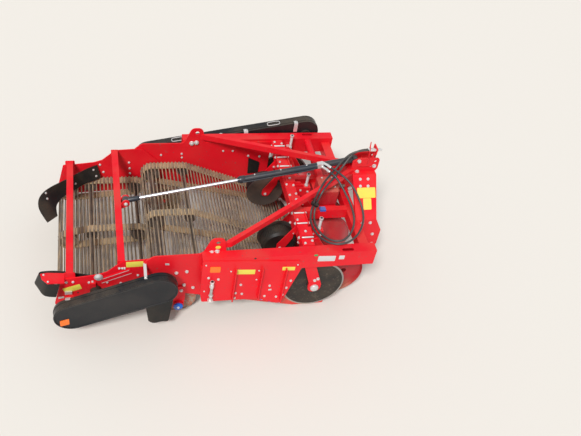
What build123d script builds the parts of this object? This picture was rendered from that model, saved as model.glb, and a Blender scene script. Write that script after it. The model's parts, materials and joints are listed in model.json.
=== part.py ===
"""Two-row potato windrower, carried on three-point links. Millimetres.

+X is the way of travel, +Y the left side, +Z up, with the origin on the ground
under the middle of the machine. It is parked on its share points and its two
support wheels. Pieces of the right side are the left ones mirrored.
"""

from build123d import *
from math import acos, atan2, cos, degrees, hypot, pi, radians, sin, tan
import os

# Side frames: a plate each side of the sieving webs, a rail outside each plate and
# a ribbed sheet outside each rail.
CHANNEL_W = 1490.0
PLATE_T = 12.0
PLATE_TOP = 825.0
PLATE_REAR = -715.0
PLATE_FRONT = 680.0
RAIL_W = 100.0
RAIL_H = 180.0
RAIL_WALL = 8.0
RAIL_TOP = 855.0
RAIL_FRONT = 1350.0
RAIL_REAR = -235.0
RAIL_SLOT_X = 1080.0
RAIL_SLOT_L = 110.0
RAIL_SLOT_W = 34.0
SHEET_T = 8.0
LUG_X = -95.0
LUG_Z = 955.0
LUG_R = 55.0
LUG_HOLE_R = 20.0

# Sieving webs: three belts with steel rods across them.
BELT_W = 75.0
BELT_T = 10.0
ROD_FLATS = 11.0
ROD_PITCH = 36.0
ROD_END_GAP = 27.0
REAR_ROD_END_GAP = 20.0
DRUM_W = 55.0
DRUM_GAP = 0.3
IDLER_SHAFT_R = 17.5

# Drive shaft of the front web, which is also the hinge line of the rear frame.
HINGE_X = -550.0
HINGE_Z = 505.0
SHAFT_R = 25.0
BOSS_R = 45.0
BOSS_L = 23.0
RUN_GAP = 0.05
SIDE_GAP = 7.0
REAR_PLATE_T = 10.0
COVER_GRIP = 22.0

# Beams between the side frames.
TOOL_BEAM_X = 730.0
TOOL_BEAM_Z = 790.0
TOOL_BEAM_S = 100.0
FRONT_BEAM_X = 1275.0
FRONT_BEAM_Z = 750.0
FRONT_BEAM_W = 90.0
FRONT_BEAM_H = 100.0
STRINGER_W = 60.0
STRINGER_LOW = 710.0
CLAMP_T = 12.0
CLAMP_OVER = 22.0

# Headstock and three-point linkage, category 2.
HEAD_GAP = 84.0
HEAD_T = 12.0
HEAD_REAR = 1262.0
HEAD_FRONT = 1530.0
HEAD_LOW = 1060.0
HEAD_H = 202.0
HEAD_STEP = 30.0
SLOT_Z = 1150.0
SLOT_H = 12.0
TOP_HOLE_R = 12.9
TOP_HOLE_X = 1492.0
TOP_HOLE_Z = 1222.0
LINK_PIN_R = 14.0
LINK_PIN_X = 1525.0
LINK_PIN_Z = 465.0
LINK_SPAN = 825.0
LINK_PIN_L = 70.0
LINK_T = 15.0
LINK_FRONT = 1576.0
LEG_TOP = 1100.0
LEG_T = 46.0

# Gearbox and transverse drive.
GEARBOX_X = 1085.0
GEARBOX_Y = -18.0
GEARBOX_L = 190.0
GEARBOX_W = 225.0
GEARBOX_LOW = 730.0
GEARBOX_H = 200.0
GEARBOX_PLATE_T = 10.0
STUB_R = 17.45
STUB_L = 90.0
STUB_Z = 868.0
DRIVE_X = 1075.0
DRIVE_Z = 816.0
DRIVE_R = 38.0
DRIVE_FLANGE_R = 60.0
LEFT_COVER_GAP = 15.0
LEFT_COVER_W = 100.0
LEFT_COVER = [(HINGE_X, 533.0, 135.0), (DRIVE_X, 844.0, 140.0)]
RIGHT_COVER_GAP = 122.0
RIGHT_COVER_W = 90.0
RIGHT_COVER = [(-1335.0, 320.0, 150.0), (-598.0, 585.0, 155.0)]
FIN_T = 10.0
FIN_D = 38.0
FIN_GAP = 8.0

# Lift cylinder of the rear frame.
BARREL_R = 31.0
BORE_R = 26.0
ROD_R = 15.0
LIFT_PIN_R = 15.0
LIFT_EYE_R = 30.0
EYE_PIN_R = 12.0
EYE_HOLE_R = 17.6
LIFT_EYE_W = 50.0
LIFT_TOP_X = 1300.0
LIFT_TOP_Z = 1212.0
LIFT_EYE_X = -835.0
LIFT_EYE_Z = 776.0
BARREL_L = 1120.0
LIFT_EAR_T = 12.0

# Support wheels of sheet steel, inside the side plates.
WHEEL_X = -412.0
WHEEL_R = 172.0
WHEEL_W = 100.0
WHEEL_GAP = 40.0
WHEEL_WALL = 6.0
WHEEL_HUB_R = 45.0
AXLE_R = 20.0
LEG_PLATE_T = 15.0
LEG_PLATE_W = 90.0
LEG_PLATE_TOP = 420.0
HUB_BOSS_R = 50.0
HUB_BOSS_W = 18.0
HUB_CAP_R = 43.0
HUB_CAP_W = 10.0

# Disc coulters, ridge rollers and haulm rollers.
COULTER_X = 855.0
COULTER_Z = 335.0
COULTER_R = 300.0
COULTER_T = 6.0
COULTER_GAP = 18.0
ROW_Y = 380.0
ROLLER_X = 1100.0
ROLLER_Z = 301.0
ROLLER_R = 296.0
ROLLER_W = 500.0
WAIST_R = 175.0
WAIST_W = 120.0
ROLLER_WALL = 6.0
ROLLER_AXLE_R = 25.0
ROLLER_HOLE_R = 30.0
ROLLER_RING_R = 110.0
HAULM_X = 560.0
HAULM_Z = 540.0
HAULM_R = 165.0
HAULM_W = 150.0
HAULM_DISC_R = 188.0
HAULM_EYE_R = 34.0
HAULM_ARM_T = 10.0

# Depth spindles that stand in a bracket on the tool beam: x, y.
BRACKET_SPINDLES = [(885.0, -520.0), (900.0, 70.0)]

# Rear frame.
TUBE_S = 60.0
SPINDLE_R = 12.0
REAR_TOP = 770.0
FLAP_T = 8.0
FLAP_LOW = 456.0
FLAP_LEAN = (-60.0, 80.0)
TUBE_PLATE_T = 10.0
FLAP_PLATE_T = 10.0
FRONT_TUBE_X = -907.0
REAR_TUBE_X = -1335.0
REAR_TUBE_TOP = 645.0

# Hydraulic hoses of the lift cylinder, with the saddle that they screw into.
HOSE_R = 9.5
CLIP_X = 872.0
CLIP_Z = 965.0
CLIP_W = 26.0
CLIP_T = 8.0
SADDLE_S = 345.0
SADDLE_L = 56.0
SADDLE_W = 42.0
SADDLE_H = 50.0
PORT_L = 70.0
PORT_R = 12.0
PORT_GAP = 2.5
COUPLER_L = 62.0
COUPLER_R = 13.0
HOLDER_T = 12.0

PLATE_IN = CHANNEL_W / 2
PLATE_OUT = PLATE_IN + PLATE_T
RAIL_OUT = PLATE_OUT + RAIL_W
SHEET_OUT = RAIL_OUT + SHEET_T
RAIL_LOW = RAIL_TOP - RAIL_H
REAR_OUT = PLATE_IN - SIDE_GAP
REAR_IN = REAR_OUT - REAR_PLATE_T
RIGHT_COVER_Y = REAR_OUT + RIGHT_COVER_GAP
WHEEL_Y = PLATE_IN - WHEEL_GAP - WHEEL_W / 2
FRONT_ROD = PLATE_IN - ROD_END_GAP
REAR_ROD = REAR_IN - REAR_ROD_END_GAP
LEFT_COVER_Y = SHEET_OUT + LEFT_COVER_GAP
HEAD_TOP = HEAD_LOW + HEAD_H
HEAD_OUT = HEAD_GAP / 2 + HEAD_T
FLAP_TOP = REAR_TUBE_TOP - TUBE_S
COULTER_Y = PLATE_OUT + COULTER_GAP

# Stringers between the two beams: y, top.
STRINGERS = [(250.0, 770.0), (-250.0, 815.0)]

# Rollers inside each web, clockwise seen from the right: x, z, belt radius.
FRONT_WEB = [
    (HINGE_X, HINGE_Z, 85.0),
    (-230.0, 535.0, 55.0),
    (760.0, 120.0, 45.0),
]
REAR_WEB = [
    (-1360.0, 295.0, 80.0),
    (-1150.0, 364.0, 55.0),
    (-715.0, 344.0, 75.0),
]

# Routes of the two hoses from their couplers to the saddle: x, y, z.
LIFT_ROUTE = [
    (1414, -78, 1385),
    (1312, -78, 1385),
    (1214, -70, 1346),
    (1145, -71, 1258),
    (1070, -106, 1160),
    (985, -185, 1140),
    (885, -308, 1119),
    (859, -318, 960),
    (834, -359, 870),
    (817, -459, 840),
    (833, -587, 838),
    (886, -724, 865),
    (977, -794, 893),
    (1084, -789, 906),
    (1197, -711, 922),
    (1273, -593, 960),
    (1285, -487, 1010),
    (1254, -395, 1079),
    (1195, -290, 1165),
    (1081, -151, 1206),
]
RETURN_ROUTE = [
    (1414, -50, 1372),
    (1318, -50, 1372),
    (1226, -58, 1318),
    (1147, -118, 1238),
    (1091, -142, 1146),
    (983, -248, 1130),
    (922, -311, 1100),
    (888, -341, 1030),
    (881, -335, 950),
    (859, -381, 885),
    (850, -470, 848),
    (866, -585, 852),
    (912, -680, 858),
    (978, -738, 873),
    (1066, -743, 893),
    (1148, -672, 925),
    (1191, -567, 965),
    (1188, -462, 1012),
    (1153, -344, 1065),
    (1104, -232, 1128),
    (1050, -166, 1177),
]


def across(sketch, y_low, y_high):
    """Solid of a sketch drawn in x and z, from y_low to y_high."""
    return extrude(Plane.XZ.offset(-y_high) * sketch, y_high - y_low, dir=(0, -1, 0))


def outline(corners):
    """Flat face inside corners given as (x, z, corner radius)."""
    points = [(x, z) for x, z, _ in corners]
    radii = [r for _, _, r in corners]
    return make_face(FilletPolyline(*points, radius=radii, close=True))


def block(x, y, z):
    """Box between two limits on each axis, each given as (low, high)."""
    size = [high - low for low, high in (x, y, z)]
    middle = [(high + low) / 2 for low, high in (x, y, z)]
    return Pos(*middle) * Box(*size)


def pin(x, z, radius, y_low, y_high):
    """Round bar along Y."""
    return Pos(x, (y_low + y_high) / 2, z) * Rot(90, 0, 0) * Cylinder(radius, y_high - y_low)


def post(x, y, radius, z_low, z_high):
    """Round bar along Z."""
    return Pos(x, y, (z_low + z_high) / 2) * Cylinder(radius, z_high - z_low)


def bar(start, end, width, height):
    """Straight bar between two points, its height in the upright plane."""
    a, b = Vector(*start), Vector(*end)
    way = (b - a).normalized()
    level = Vector(0, 0, 1).cross(way).normalized()
    return extrude(Plane(origin=a, x_dir=level, z_dir=way) * Rectangle(width, height), (b - a).length)


def turned(profile, x, z, y_mid=0.0):
    """Solid turned about a line along Y; the profile holds (radius, y) points."""
    return Pos(x, y_mid, z) * revolve(make_face(Polyline(*profile, close=True)), Axis.Y)


def mirrored(shape):
    """The same piece on the right side."""
    return mirror(shape, Plane.XZ)


def group(*shapes):
    """One compound of the solids of several shapes."""
    return Compound([solid for shape in shapes for solid in shape.solids()])


def both(shape):
    """A left piece and its mirror image."""
    return group(shape, mirrored(shape))


def save(name, shape):
    """Write one named piece."""
    export_step(shape, f"parts/{name}.step")


def band_turns(rollers, grow):
    """Arcs of a band round the rollers, clockwise: (x, z, radius, first angle, sweep)."""
    leave = []
    for (x0, z0, r0), (x1, z1, r1) in zip(rollers, rollers[1:] + rollers[:1]):
        leave.append(atan2(z1 - z0, x1 - x0) + acos((r0 - r1) / hypot(x1 - x0, z1 - z0)))
    arrive = leave[-1:] + leave[:-1]
    return [
        (x, z, r + grow, first, (first - last) % (2 * pi))
        for (x, z, r), first, last in zip(rollers, arrive, leave)
    ]


def on_arc(turn, share):
    """Point of a band's arc, from its start (0) to its end (1)."""
    x, z, radius, first, sweep = turn
    angle = first - sweep * share
    return x + radius * cos(angle), z + radius * sin(angle)


def band_face(rollers, grow):
    """Face inside a band that runs round the rollers."""
    turns = band_turns(rollers, grow)
    edges = []
    for turn, following in zip(turns, turns[1:] + turns[:1]):
        edges.append(ThreePointArc(*[on_arc(turn, share) for share in (0, 0.5, 1)]))
        edges.append(Line(on_arc(turn, 1), on_arc(following, 0)))
    return make_face(edges)


def band_stations(rollers, grow, pitch):
    """Evenly spaced places on a band: (x, z, angle of the outward normal)."""
    turns = band_turns(rollers, grow)
    pieces = []
    for turn, following in zip(turns, turns[1:] + turns[:1]):
        start, end = on_arc(turn, 1), on_arc(following, 0)
        pieces.append(("arc", turn, turn[2] * turn[4]))
        pieces.append(("run", (start, end, turn[3] - turn[4]), hypot(end[0] - start[0], end[1] - start[1])))
    total = sum(length for _, _, length in pieces)
    count = round(total / pitch)
    stations = []
    for number in range(count):
        rest = (number + 0.5) * total / count
        for kind, data, length in pieces:
            if rest <= length:
                break
            rest -= length
        share = rest / length
        if kind == "arc":
            stations.append((*on_arc(data, share), data[3] - data[4] * share))
        else:
            (x0, z0), (x1, z1), angle = data
            stations.append((x0 + (x1 - x0) * share, z0 + (z1 - z0) * share, angle))
    return stations


def web_belts(rollers, rod_half):
    """Three endless belts, one in the middle and one near each end of the rods."""
    ring = band_face(rollers, BELT_T) - band_face(rollers, 0)
    edge = rod_half - BELT_W / 2 - ROD_FLATS / 2
    return group(*[across(ring, y - BELT_W / 2, y + BELT_W / 2) for y in (-edge, 0, edge)])


def web_rods(rollers, rod_half):
    """Rods that lie on the belts, each with one flat on them."""
    rods = []
    for x, z, normal in band_stations(rollers, BELT_T, ROD_PITCH):
        middle = (x + cos(normal) * ROD_FLATS / 2, z + sin(normal) * ROD_FLATS / 2)
        section = RegularPolygon(ROD_FLATS / 2, 6, major_radius=False)
        rods.append(across(Pos(*middle) * Rot(0, 0, degrees(normal) - 90) * section, -rod_half, rod_half))
    return group(*rods)


def web_roller(roller, rod_half, shaft_r, y_low, y_high):
    """A shaft with a drum under each belt."""
    x, z, radius = roller
    edge = rod_half - BELT_W / 2 - ROD_FLATS / 2
    solid = pin(x, z, shaft_r, y_low, y_high)
    for y in (-edge, 0, edge):
        solid += pin(x, z, radius - DRUM_GAP, y - DRUM_W / 2, y + DRUM_W / 2)
    return solid


def side_plate():
    """Left side plate with the lifting lug and the boss that the rear frame turns on."""
    corners = [
        (PLATE_REAR, 400, 50),
        (PLATE_REAR, 760, 40),
        (-640, PLATE_TOP, 70),
        (-225, PLATE_TOP, 60),
        (LUG_X - LUG_R, LUG_Z + LUG_R, LUG_R - 1),
        (LUG_X + LUG_R, LUG_Z + LUG_R, LUG_R - 1),
        (LUG_X + LUG_R + 25, PLATE_TOP, 20),
        (PLATE_FRONT, PLATE_TOP, 0),
        (PLATE_FRONT, 430, 60),
        (800, 230, 80),
        (1010, 55, 20),
        (1010, 14, 12),
        (700, 14, 60),
        (-550, 365, 100),
    ]
    plate = across(outline(corners), PLATE_IN, PLATE_OUT)
    plate += pin(HINGE_X, HINGE_Z, BOSS_R, PLATE_IN - BOSS_L, PLATE_IN)
    plate -= pin(HINGE_X, HINGE_Z, SHAFT_R + RUN_GAP, PLATE_IN - BOSS_L, PLATE_OUT)
    plate -= pin(LUG_X, LUG_Z, LUG_HOLE_R, PLATE_IN, PLATE_OUT)
    return plate


def rail():
    """Left rail, a tube outside the side plate, with a slot in its top."""
    tube = block((RAIL_REAR, RAIL_FRONT), (PLATE_OUT, RAIL_OUT), (RAIL_LOW, RAIL_TOP))
    hollow = block(
        (RAIL_REAR, RAIL_FRONT),
        (PLATE_OUT + RAIL_WALL, RAIL_OUT - RAIL_WALL),
        (RAIL_LOW + RAIL_WALL, RAIL_TOP - RAIL_WALL),
    )
    slot_y = PLATE_OUT + RAIL_W * 0.68
    slot = Pos(RAIL_SLOT_X, slot_y, RAIL_TOP - RAIL_WALL) * SlotOverall(RAIL_SLOT_L, RAIL_SLOT_W)
    return tube - hollow - extrude(slot, RAIL_WALL)


def outer_sheet():
    """Left outer sheet with its upright fins."""
    corners = [
        (RAIL_REAR, 850, 12),
        (640, 780, 10),
        (668, 700, 12),
        (541, 205, 25),
        (490, 205, 20),
        (300, 290, 40),
        (-215, 300, 15),
        (RAIL_REAR, 420, 20),
    ]
    sheet = across(outline(corners), RAIL_OUT, SHEET_OUT)
    for x, low, high in ((60, 310, 740), (300, 310, 725), (520, 250, 705)):
        sheet += block((x - FIN_T / 2, x + FIN_T / 2), (SHEET_OUT, SHEET_OUT + FIN_D), (low, high))
    return sheet


def tool_beam():
    """Square beam between the side plates, with the brackets of two depth spindles."""
    half = TOOL_BEAM_S / 2
    solid = block(
        (TOOL_BEAM_X - half, TOOL_BEAM_X + half),
        (-PLATE_OUT, PLATE_OUT),
        (TOOL_BEAM_Z - half, TOOL_BEAM_Z + half),
    )
    for x, y in BRACKET_SPINDLES:
        solid += spindle_bracket(x, y)
    return solid


def front_beam():
    """Beam between the fronts of the rails, which carries the headstock."""
    return block(
        (FRONT_BEAM_X - FRONT_BEAM_W / 2, FRONT_BEAM_X + FRONT_BEAM_W / 2),
        (-PLATE_OUT, PLATE_OUT),
        (FRONT_BEAM_Z - FRONT_BEAM_H / 2, FRONT_BEAM_Z + FRONT_BEAM_H / 2),
    )


def stringers():
    """Bars between the two beams, with the gearbox's bed between them."""
    x_limits = (TOOL_BEAM_X + TOOL_BEAM_S / 2, FRONT_BEAM_X - FRONT_BEAM_W / 2)
    inner = STRINGERS[0][0] - STRINGER_W / 2
    bed_x = (GEARBOX_X - GEARBOX_L / 2 + 10, GEARBOX_X + GEARBOX_L / 2 - 10)
    solid = block(bed_x, (-inner, inner), (GEARBOX_LOW - GEARBOX_PLATE_T, GEARBOX_LOW))
    for y, top in STRINGERS:
        solid += block(x_limits, (y - STRINGER_W / 2, y + STRINGER_W / 2), (STRINGER_LOW, top))
    return solid


def cover_room():
    """Room that the left sheet's fins leave round the left cover."""
    grown = [(x, z, r + FIN_GAP) for x, z, r in LEFT_COVER]
    return cover(*grown, SHEET_OUT, LEFT_COVER_Y + LEFT_COVER_W)


def headstock_head():
    """Two slotted upright plates that take the top link, joined by a web, a foot and the lift pin."""
    corners = [
        (HEAD_REAR, HEAD_LOW, 0),
        (HEAD_REAR, HEAD_TOP - HEAD_STEP, HEAD_H / 8),
        (HEAD_REAR + 2 * HEAD_STEP, HEAD_TOP, HEAD_H / 10),
        (HEAD_FRONT, HEAD_TOP, HEAD_H / 7),
        (HEAD_FRONT, HEAD_LOW + HEAD_H * 0.4, HEAD_H / 6),
        (HEAD_FRONT - 40, HEAD_LOW, 0),
    ]
    inner = HEAD_GAP / 2
    plate = across(outline(corners), inner, HEAD_OUT)
    plate -= pin(TOP_HOLE_X, TOP_HOLE_Z, TOP_HOLE_R, inner, HEAD_OUT)
    slot_x = (HEAD_REAR + HEAD_STEP * 2, HEAD_FRONT - HEAD_STEP * 2)
    plate -= block(slot_x, (inner, HEAD_OUT), (SLOT_Z, SLOT_Z + SLOT_H))
    web_rear = HEAD_REAR + 110
    web = block((web_rear, web_rear + HEAD_T), (-inner, inner), (HEAD_LOW, HEAD_TOP - 2 * HEAD_STEP))
    foot = block((HEAD_REAR, HEAD_FRONT - 2 * HEAD_STEP), (-inner, inner), (HEAD_LOW, HEAD_LOW + HEAD_T))
    lift_pin = pin(LIFT_TOP_X, LIFT_TOP_Z, LIFT_PIN_R, -HEAD_OUT - 8, HEAD_OUT + 8)
    return plate + mirrored(plate) + web + foot + lift_pin


def headstock_leg():
    """Left leg, a flat box that spreads from the head down to the front beam."""
    link_out = LINK_SPAN / 2
    front_top = FRONT_BEAM_Z + FRONT_BEAM_H / 2
    low = Pos(1390, link_out - LEG_T / 2, front_top) * Rectangle(210, LEG_T)
    high = Pos(1395, HEAD_OUT + LEG_T / 2, LEG_TOP) * Rectangle(240, LEG_T)
    return loft([low.face(), high.face()], ruled=True)


def link_plate():
    """Left lower link plate, bolted to the front of the front beam."""
    beam_front = FRONT_BEAM_X + FRONT_BEAM_W / 2
    top = FRONT_BEAM_Z + FRONT_BEAM_H / 2
    corners = [
        (beam_front, top, 0),
        (LINK_FRONT - 81, top, 20),
        (LINK_FRONT, top - 150, 40),
        (LINK_FRONT, LINK_PIN_Z - 35, 40),
        (LINK_FRONT - 96, LINK_PIN_Z - 45, 40),
        (beam_front, top - 130, 30),
    ]
    out = LINK_SPAN / 2
    return across(outline(corners), out - LINK_T, out)


def link_pin():
    """Left lower link pin with its shoulder inside the plate."""
    out = LINK_SPAN / 2
    solid = pin(LINK_PIN_X, LINK_PIN_Z, LINK_PIN_R, out, out + LINK_PIN_L)
    return solid + pin(LINK_PIN_X, LINK_PIN_Z, 24, out - LINK_T - 12, out - LINK_T)


def brace():
    """Left brace from the lifting lug to the headstock."""
    start = (LUG_X + 40, PLATE_IN + 20, 905)
    end = (HEAD_REAR + 40, HEAD_OUT - 20, 1110)
    solid = bar(start, end, 40, 60)
    keep = block((start[0] - 100, end[0] + 100), (HEAD_OUT, PLATE_IN), (0, 2 * end[2]))
    return solid & keep


def gearbox():
    """Bevel gearbox with rounded edges and the two flanges of its shafts."""
    body = block(
        (GEARBOX_X - GEARBOX_L / 2, GEARBOX_X + GEARBOX_L / 2),
        (GEARBOX_Y - GEARBOX_W / 2, GEARBOX_Y + GEARBOX_W / 2),
        (GEARBOX_LOW, GEARBOX_LOW + GEARBOX_H),
    )
    body = chamfer(body.edges(), 18)
    return body


def cover(rear, front, y_low, y_high):
    """Long drive cover round two wheels, each given as (x, z, radius)."""
    return across(band_face([rear, front], 0), y_low, y_high)


def left_cover():
    """Cover of the drive from the transverse shaft back to the front web's shaft."""
    solid = cover(*LEFT_COVER, LEFT_COVER_Y, LEFT_COVER_Y + LEFT_COVER_W)
    solid += pin(DRIVE_X, DRIVE_Z, DRIVE_FLANGE_R, RAIL_OUT, LEFT_COVER_Y)
    return solid - pin(HINGE_X, HINGE_Z, SHAFT_R + RUN_GAP, LEFT_COVER_Y, LEFT_COVER_Y + COVER_GRIP)


def right_cover():
    """Cover of the drive from the front web's shaft back to the rear web's shaft."""
    solid = cover(*RIGHT_COVER, -RIGHT_COVER_Y - RIGHT_COVER_W, -RIGHT_COVER_Y)
    return solid - pin(HINGE_X, HINGE_Z, SHAFT_R + RUN_GAP, -RIGHT_COVER_Y - COVER_GRIP - 2, -RIGHT_COVER_Y)


def drive_shaft():
    """Shaft of the front web's drive drums, out to both covers."""
    return web_roller(
        FRONT_WEB[0], FRONT_ROD, SHAFT_R, -RIGHT_COVER_Y - COVER_GRIP, LEFT_COVER_Y + COVER_GRIP
    )


def share_blade(y_mid):
    """One share: a flat blade with a point, sloped down to the ground."""
    half = 165
    plan = [(790, -half), (890, -half), (948, 0), (890, half), (790, half)]
    return Pos(0, y_mid, 0) * extrude(make_face(Polyline(*plan, close=True)), 12)


def rear_plate():
    """Left side plate of the rear frame, bored for the boss that it turns on."""
    corners = [
        (-455, 425, 85),
        (-455, 590, 85),
        (-640, REAR_TOP + 8, 60),
        (-900, 762, 40),
        (-1030, 640, 50),
        (-1110, 612, 40),
        (-1340, FLAP_TOP, 60),
        (-1404, FLAP_TOP, 15),
        (-1481, 262, 40),
        (-1440, 200, 40),
        (-1100, 225, 60),
        (-700, 245, 60),
    ]
    plate = across(outline(corners), REAR_IN, REAR_OUT)
    return plate - pin(HINGE_X, HINGE_Z, BOSS_R + RUN_GAP, REAR_IN, REAR_OUT)


def cross_tube(x, z_top, y_end):
    """Square tube across the rear frame."""
    half = TUBE_S / 2
    return block((x - half, x + half), (-y_end, y_end), (z_top - TUBE_S, z_top))


def lift_axis():
    """Start, direction and length of the line from the rod's eye to the barrel's pin."""
    eye = Vector(LIFT_EYE_X, 0, LIFT_EYE_Z)
    top = Vector(LIFT_TOP_X, 0, LIFT_TOP_Z)
    return eye, (top - eye).normalized(), (top - eye).length


def cylinder_barrel():
    """Barrel with its eye at the headstock, bored for the rod."""
    eye, way, length = lift_axis()
    top = eye + way * length
    start = top - way * BARREL_L
    tube = extrude(Plane(origin=start, z_dir=way) * Circle(BARREL_R), BARREL_L - LIFT_EYE_R)
    tube -= extrude(Plane(origin=start, z_dir=way) * Circle(ROD_R + RUN_GAP), 60)
    tube -= extrude(Plane(origin=start + way * 60, z_dir=way) * Circle(BORE_R), BARREL_L - 130)
    eye_ring = pin(LIFT_TOP_X, LIFT_TOP_Z, LIFT_EYE_R, -LIFT_EYE_W / 2, LIFT_EYE_W / 2)
    solid = tube + eye_ring
    return solid - pin(LIFT_TOP_X, LIFT_TOP_Z, LIFT_PIN_R + RUN_GAP, -LIFT_EYE_W / 2, LIFT_EYE_W / 2)


def cylinder_rod():
    """Rod with its eye, run back into the barrel."""
    eye, way, length = lift_axis()
    inside = length - BARREL_L + 330
    rod = extrude(Plane(origin=eye + way * 20, z_dir=way) * Circle(ROD_R), inside - 20)
    ring = pin(LIFT_EYE_X, LIFT_EYE_Z, LIFT_EYE_R, -LIFT_EYE_W / 2, LIFT_EYE_W / 2)
    return rod + ring - pin(LIFT_EYE_X, LIFT_EYE_Z, EYE_HOLE_R, -LIFT_EYE_W / 2, LIFT_EYE_W / 2)


def barrel_saddle():
    """Block on the barrel with the two ports that the hoses screw into."""
    eye, way, length = lift_axis()
    up = Vector(-way.Z, 0, way.X)
    middle = eye + way * (length - SADDLE_S)
    solid = extrude(
        Plane(origin=middle - way * (SADDLE_L / 2) + up * (SADDLE_H / 2), z_dir=way, x_dir=up)
        * Pos(0, SADDLE_W / 2)
        * Rectangle(SADDLE_H, SADDLE_W),
        SADDLE_L,
    )
    for start, way_out in saddle_ports():
        foot = Plane(origin=start - way_out * PORT_R, z_dir=way_out)
        solid += extrude(foot * Circle(PORT_R), PORT_L + PORT_R)
    return solid - extrude(Plane(origin=middle - way * SADDLE_L, z_dir=way) * Circle(BARREL_R), 2 * SADDLE_L)


def saddle_ports():
    """Start and direction of the lift port and the return port, both square to the barrel's swing."""
    eye, way, length = lift_axis()
    up = Vector(-way.Z, 0, way.X)
    middle = eye + way * (length - SADDLE_S)
    ports = []
    for along, above, aside, turn in ((SADDLE_L / 2, 38, 12, 52), (SADDLE_L / 4, 16, SADDLE_W, 55)):
        start = middle + way * along + up * above - Vector(0, aside, 0)
        ports.append((start, way * cos(radians(turn)) - Vector(0, sin(radians(turn)), 0)))
    return ports


def lift_ears():
    """Ears on the first cross tube that hold the rod's eye, with their pin."""
    face = FRONT_TUBE_X + TUBE_S / 2
    corners = [
        (face, REAR_TOP - TUBE_S, 0),
        (face, REAR_TOP, 0),
        (LIFT_EYE_X - 18, LIFT_EYE_Z + 32, 25),
        (LIFT_EYE_X + 34, LIFT_EYE_Z + 30, 28),
        (LIFT_EYE_X + 34, LIFT_EYE_Z - 30, 28),
    ]
    gap = LIFT_EYE_W / 2 + 5
    out = gap + LIFT_EAR_T
    ear = across(outline(corners), gap, out)
    return ear + mirrored(ear) + pin(LIFT_EYE_X, LIFT_EYE_Z, EYE_PIN_R, -out - 8, out + 8)


def wheel_leg():
    """Left leg plate on the side plate, with the stub axle, its boss and cap."""
    half = LEG_PLATE_W / 2
    corners = [
        (WHEEL_X - half, LEG_PLATE_TOP, 12),
        (WHEEL_X + half + 15, LEG_PLATE_TOP, 12),
        (WHEEL_X + half + 15, WHEEL_R + 90, 60),
        (WHEEL_X + half, WHEEL_R - half, half - 1),
        (WHEEL_X - half, WHEEL_R - half, half - 1),
    ]
    outer = PLATE_OUT + LEG_PLATE_T
    leg = across(outline(corners), PLATE_OUT, outer)
    leg += pin(WHEEL_X, WHEEL_R, AXLE_R, WHEEL_Y - WHEEL_W / 2 - HUB_CAP_W, PLATE_OUT)
    leg += pin(WHEEL_X, WHEEL_R, HUB_BOSS_R, outer, outer + HUB_BOSS_W)
    return leg + pin(WHEEL_X, WHEEL_R, HUB_CAP_R, outer + HUB_BOSS_W, outer + HUB_BOSS_W + HUB_CAP_W)


def support_wheel():
    """Left support wheel: a steel band with a dished disc near its outer edge."""
    half = WHEEL_W / 2
    bore = AXLE_R + RUN_GAP
    profile = [
        (bore, -half),
        (WHEEL_HUB_R, -half),
        (WHEEL_HUB_R, half - 34),
        (WHEEL_R - WHEEL_WALL, half - 14),
        (WHEEL_R - WHEEL_WALL, -half),
        (WHEEL_R, -half),
        (WHEEL_R, half),
        (WHEEL_R - WHEEL_WALL, half),
        (WHEEL_R - WHEEL_WALL, half - 8),
        (WHEEL_HUB_R, half - 26),
        (WHEEL_HUB_R, half),
        (bore, half),
    ]
    return turned(profile, WHEEL_X, WHEEL_R, WHEEL_Y)


def coulter_arm():
    """Left coulter arm from the rail's underside to the disc's axle."""
    inner = COULTER_Y + 24
    corners = [
        (700, RAIL_LOW, 0),
        (810, RAIL_LOW, 0),
        (COULTER_X + 62, COULTER_Z + 40, 60),
        (COULTER_X + 62, COULTER_Z - 62, 58),
        (COULTER_X - 62, COULTER_Z - 62, 58),
        (COULTER_X - 62, COULTER_Z + 60, 60),
    ]
    arm = across(outline(corners), inner, inner + 18)
    return arm + pin(COULTER_X, COULTER_Z, 17.5, COULTER_Y - 10, inner)


def coulter_disc():
    """Left coulter disc with its hub and sharpened edge."""
    bore = 17.5 + RUN_GAP
    profile = [
        (bore, -COULTER_T / 2),
        (COULTER_R - 14, -COULTER_T / 2),
        (COULTER_R, -1),
        (COULTER_R, 1),
        (COULTER_R - 14, COULTER_T / 2),
        (58, COULTER_T / 2),
        (58, 18),
        (bore, 18),
    ]
    return turned(profile, COULTER_X, COULTER_Z, COULTER_Y)


def ridge_roller():
    """Left ridge roller: a waisted spool of sheet steel with two pierced end plates."""
    half = ROLLER_W / 2
    wall = ROLLER_WALL
    inset = half - 24
    profile = [
        (ROLLER_AXLE_R + RUN_GAP, -inset),
        (ROLLER_R - 2 * wall, -inset),
        (ROLLER_R, -half),
        (WAIST_R, -WAIST_W / 2),
        (WAIST_R, WAIST_W / 2),
        (ROLLER_R, half),
        (ROLLER_R - 2 * wall, inset),
        (ROLLER_AXLE_R + RUN_GAP, inset),
        (ROLLER_AXLE_R + RUN_GAP, inset - 2 * wall),
        (ROLLER_R - 6 * wall, inset - 2 * wall),
        (WAIST_R - wall, WAIST_W / 2),
        (WAIST_R - wall, -WAIST_W / 2),
        (ROLLER_R - 6 * wall, 2 * wall - inset),
        (ROLLER_AXLE_R + RUN_GAP, 2 * wall - inset),
    ]
    solid = turned(profile, ROLLER_X, ROLLER_Z, ROW_Y)
    for angle in (0, 72, 144, 216, 288):
        x = ROLLER_X + ROLLER_RING_R * cos(radians(angle))
        z = ROLLER_Z + ROLLER_RING_R * sin(radians(angle))
        solid -= pin(x, z, ROLLER_HOLE_R, ROW_Y - half, ROW_Y + half)
    return solid


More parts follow.
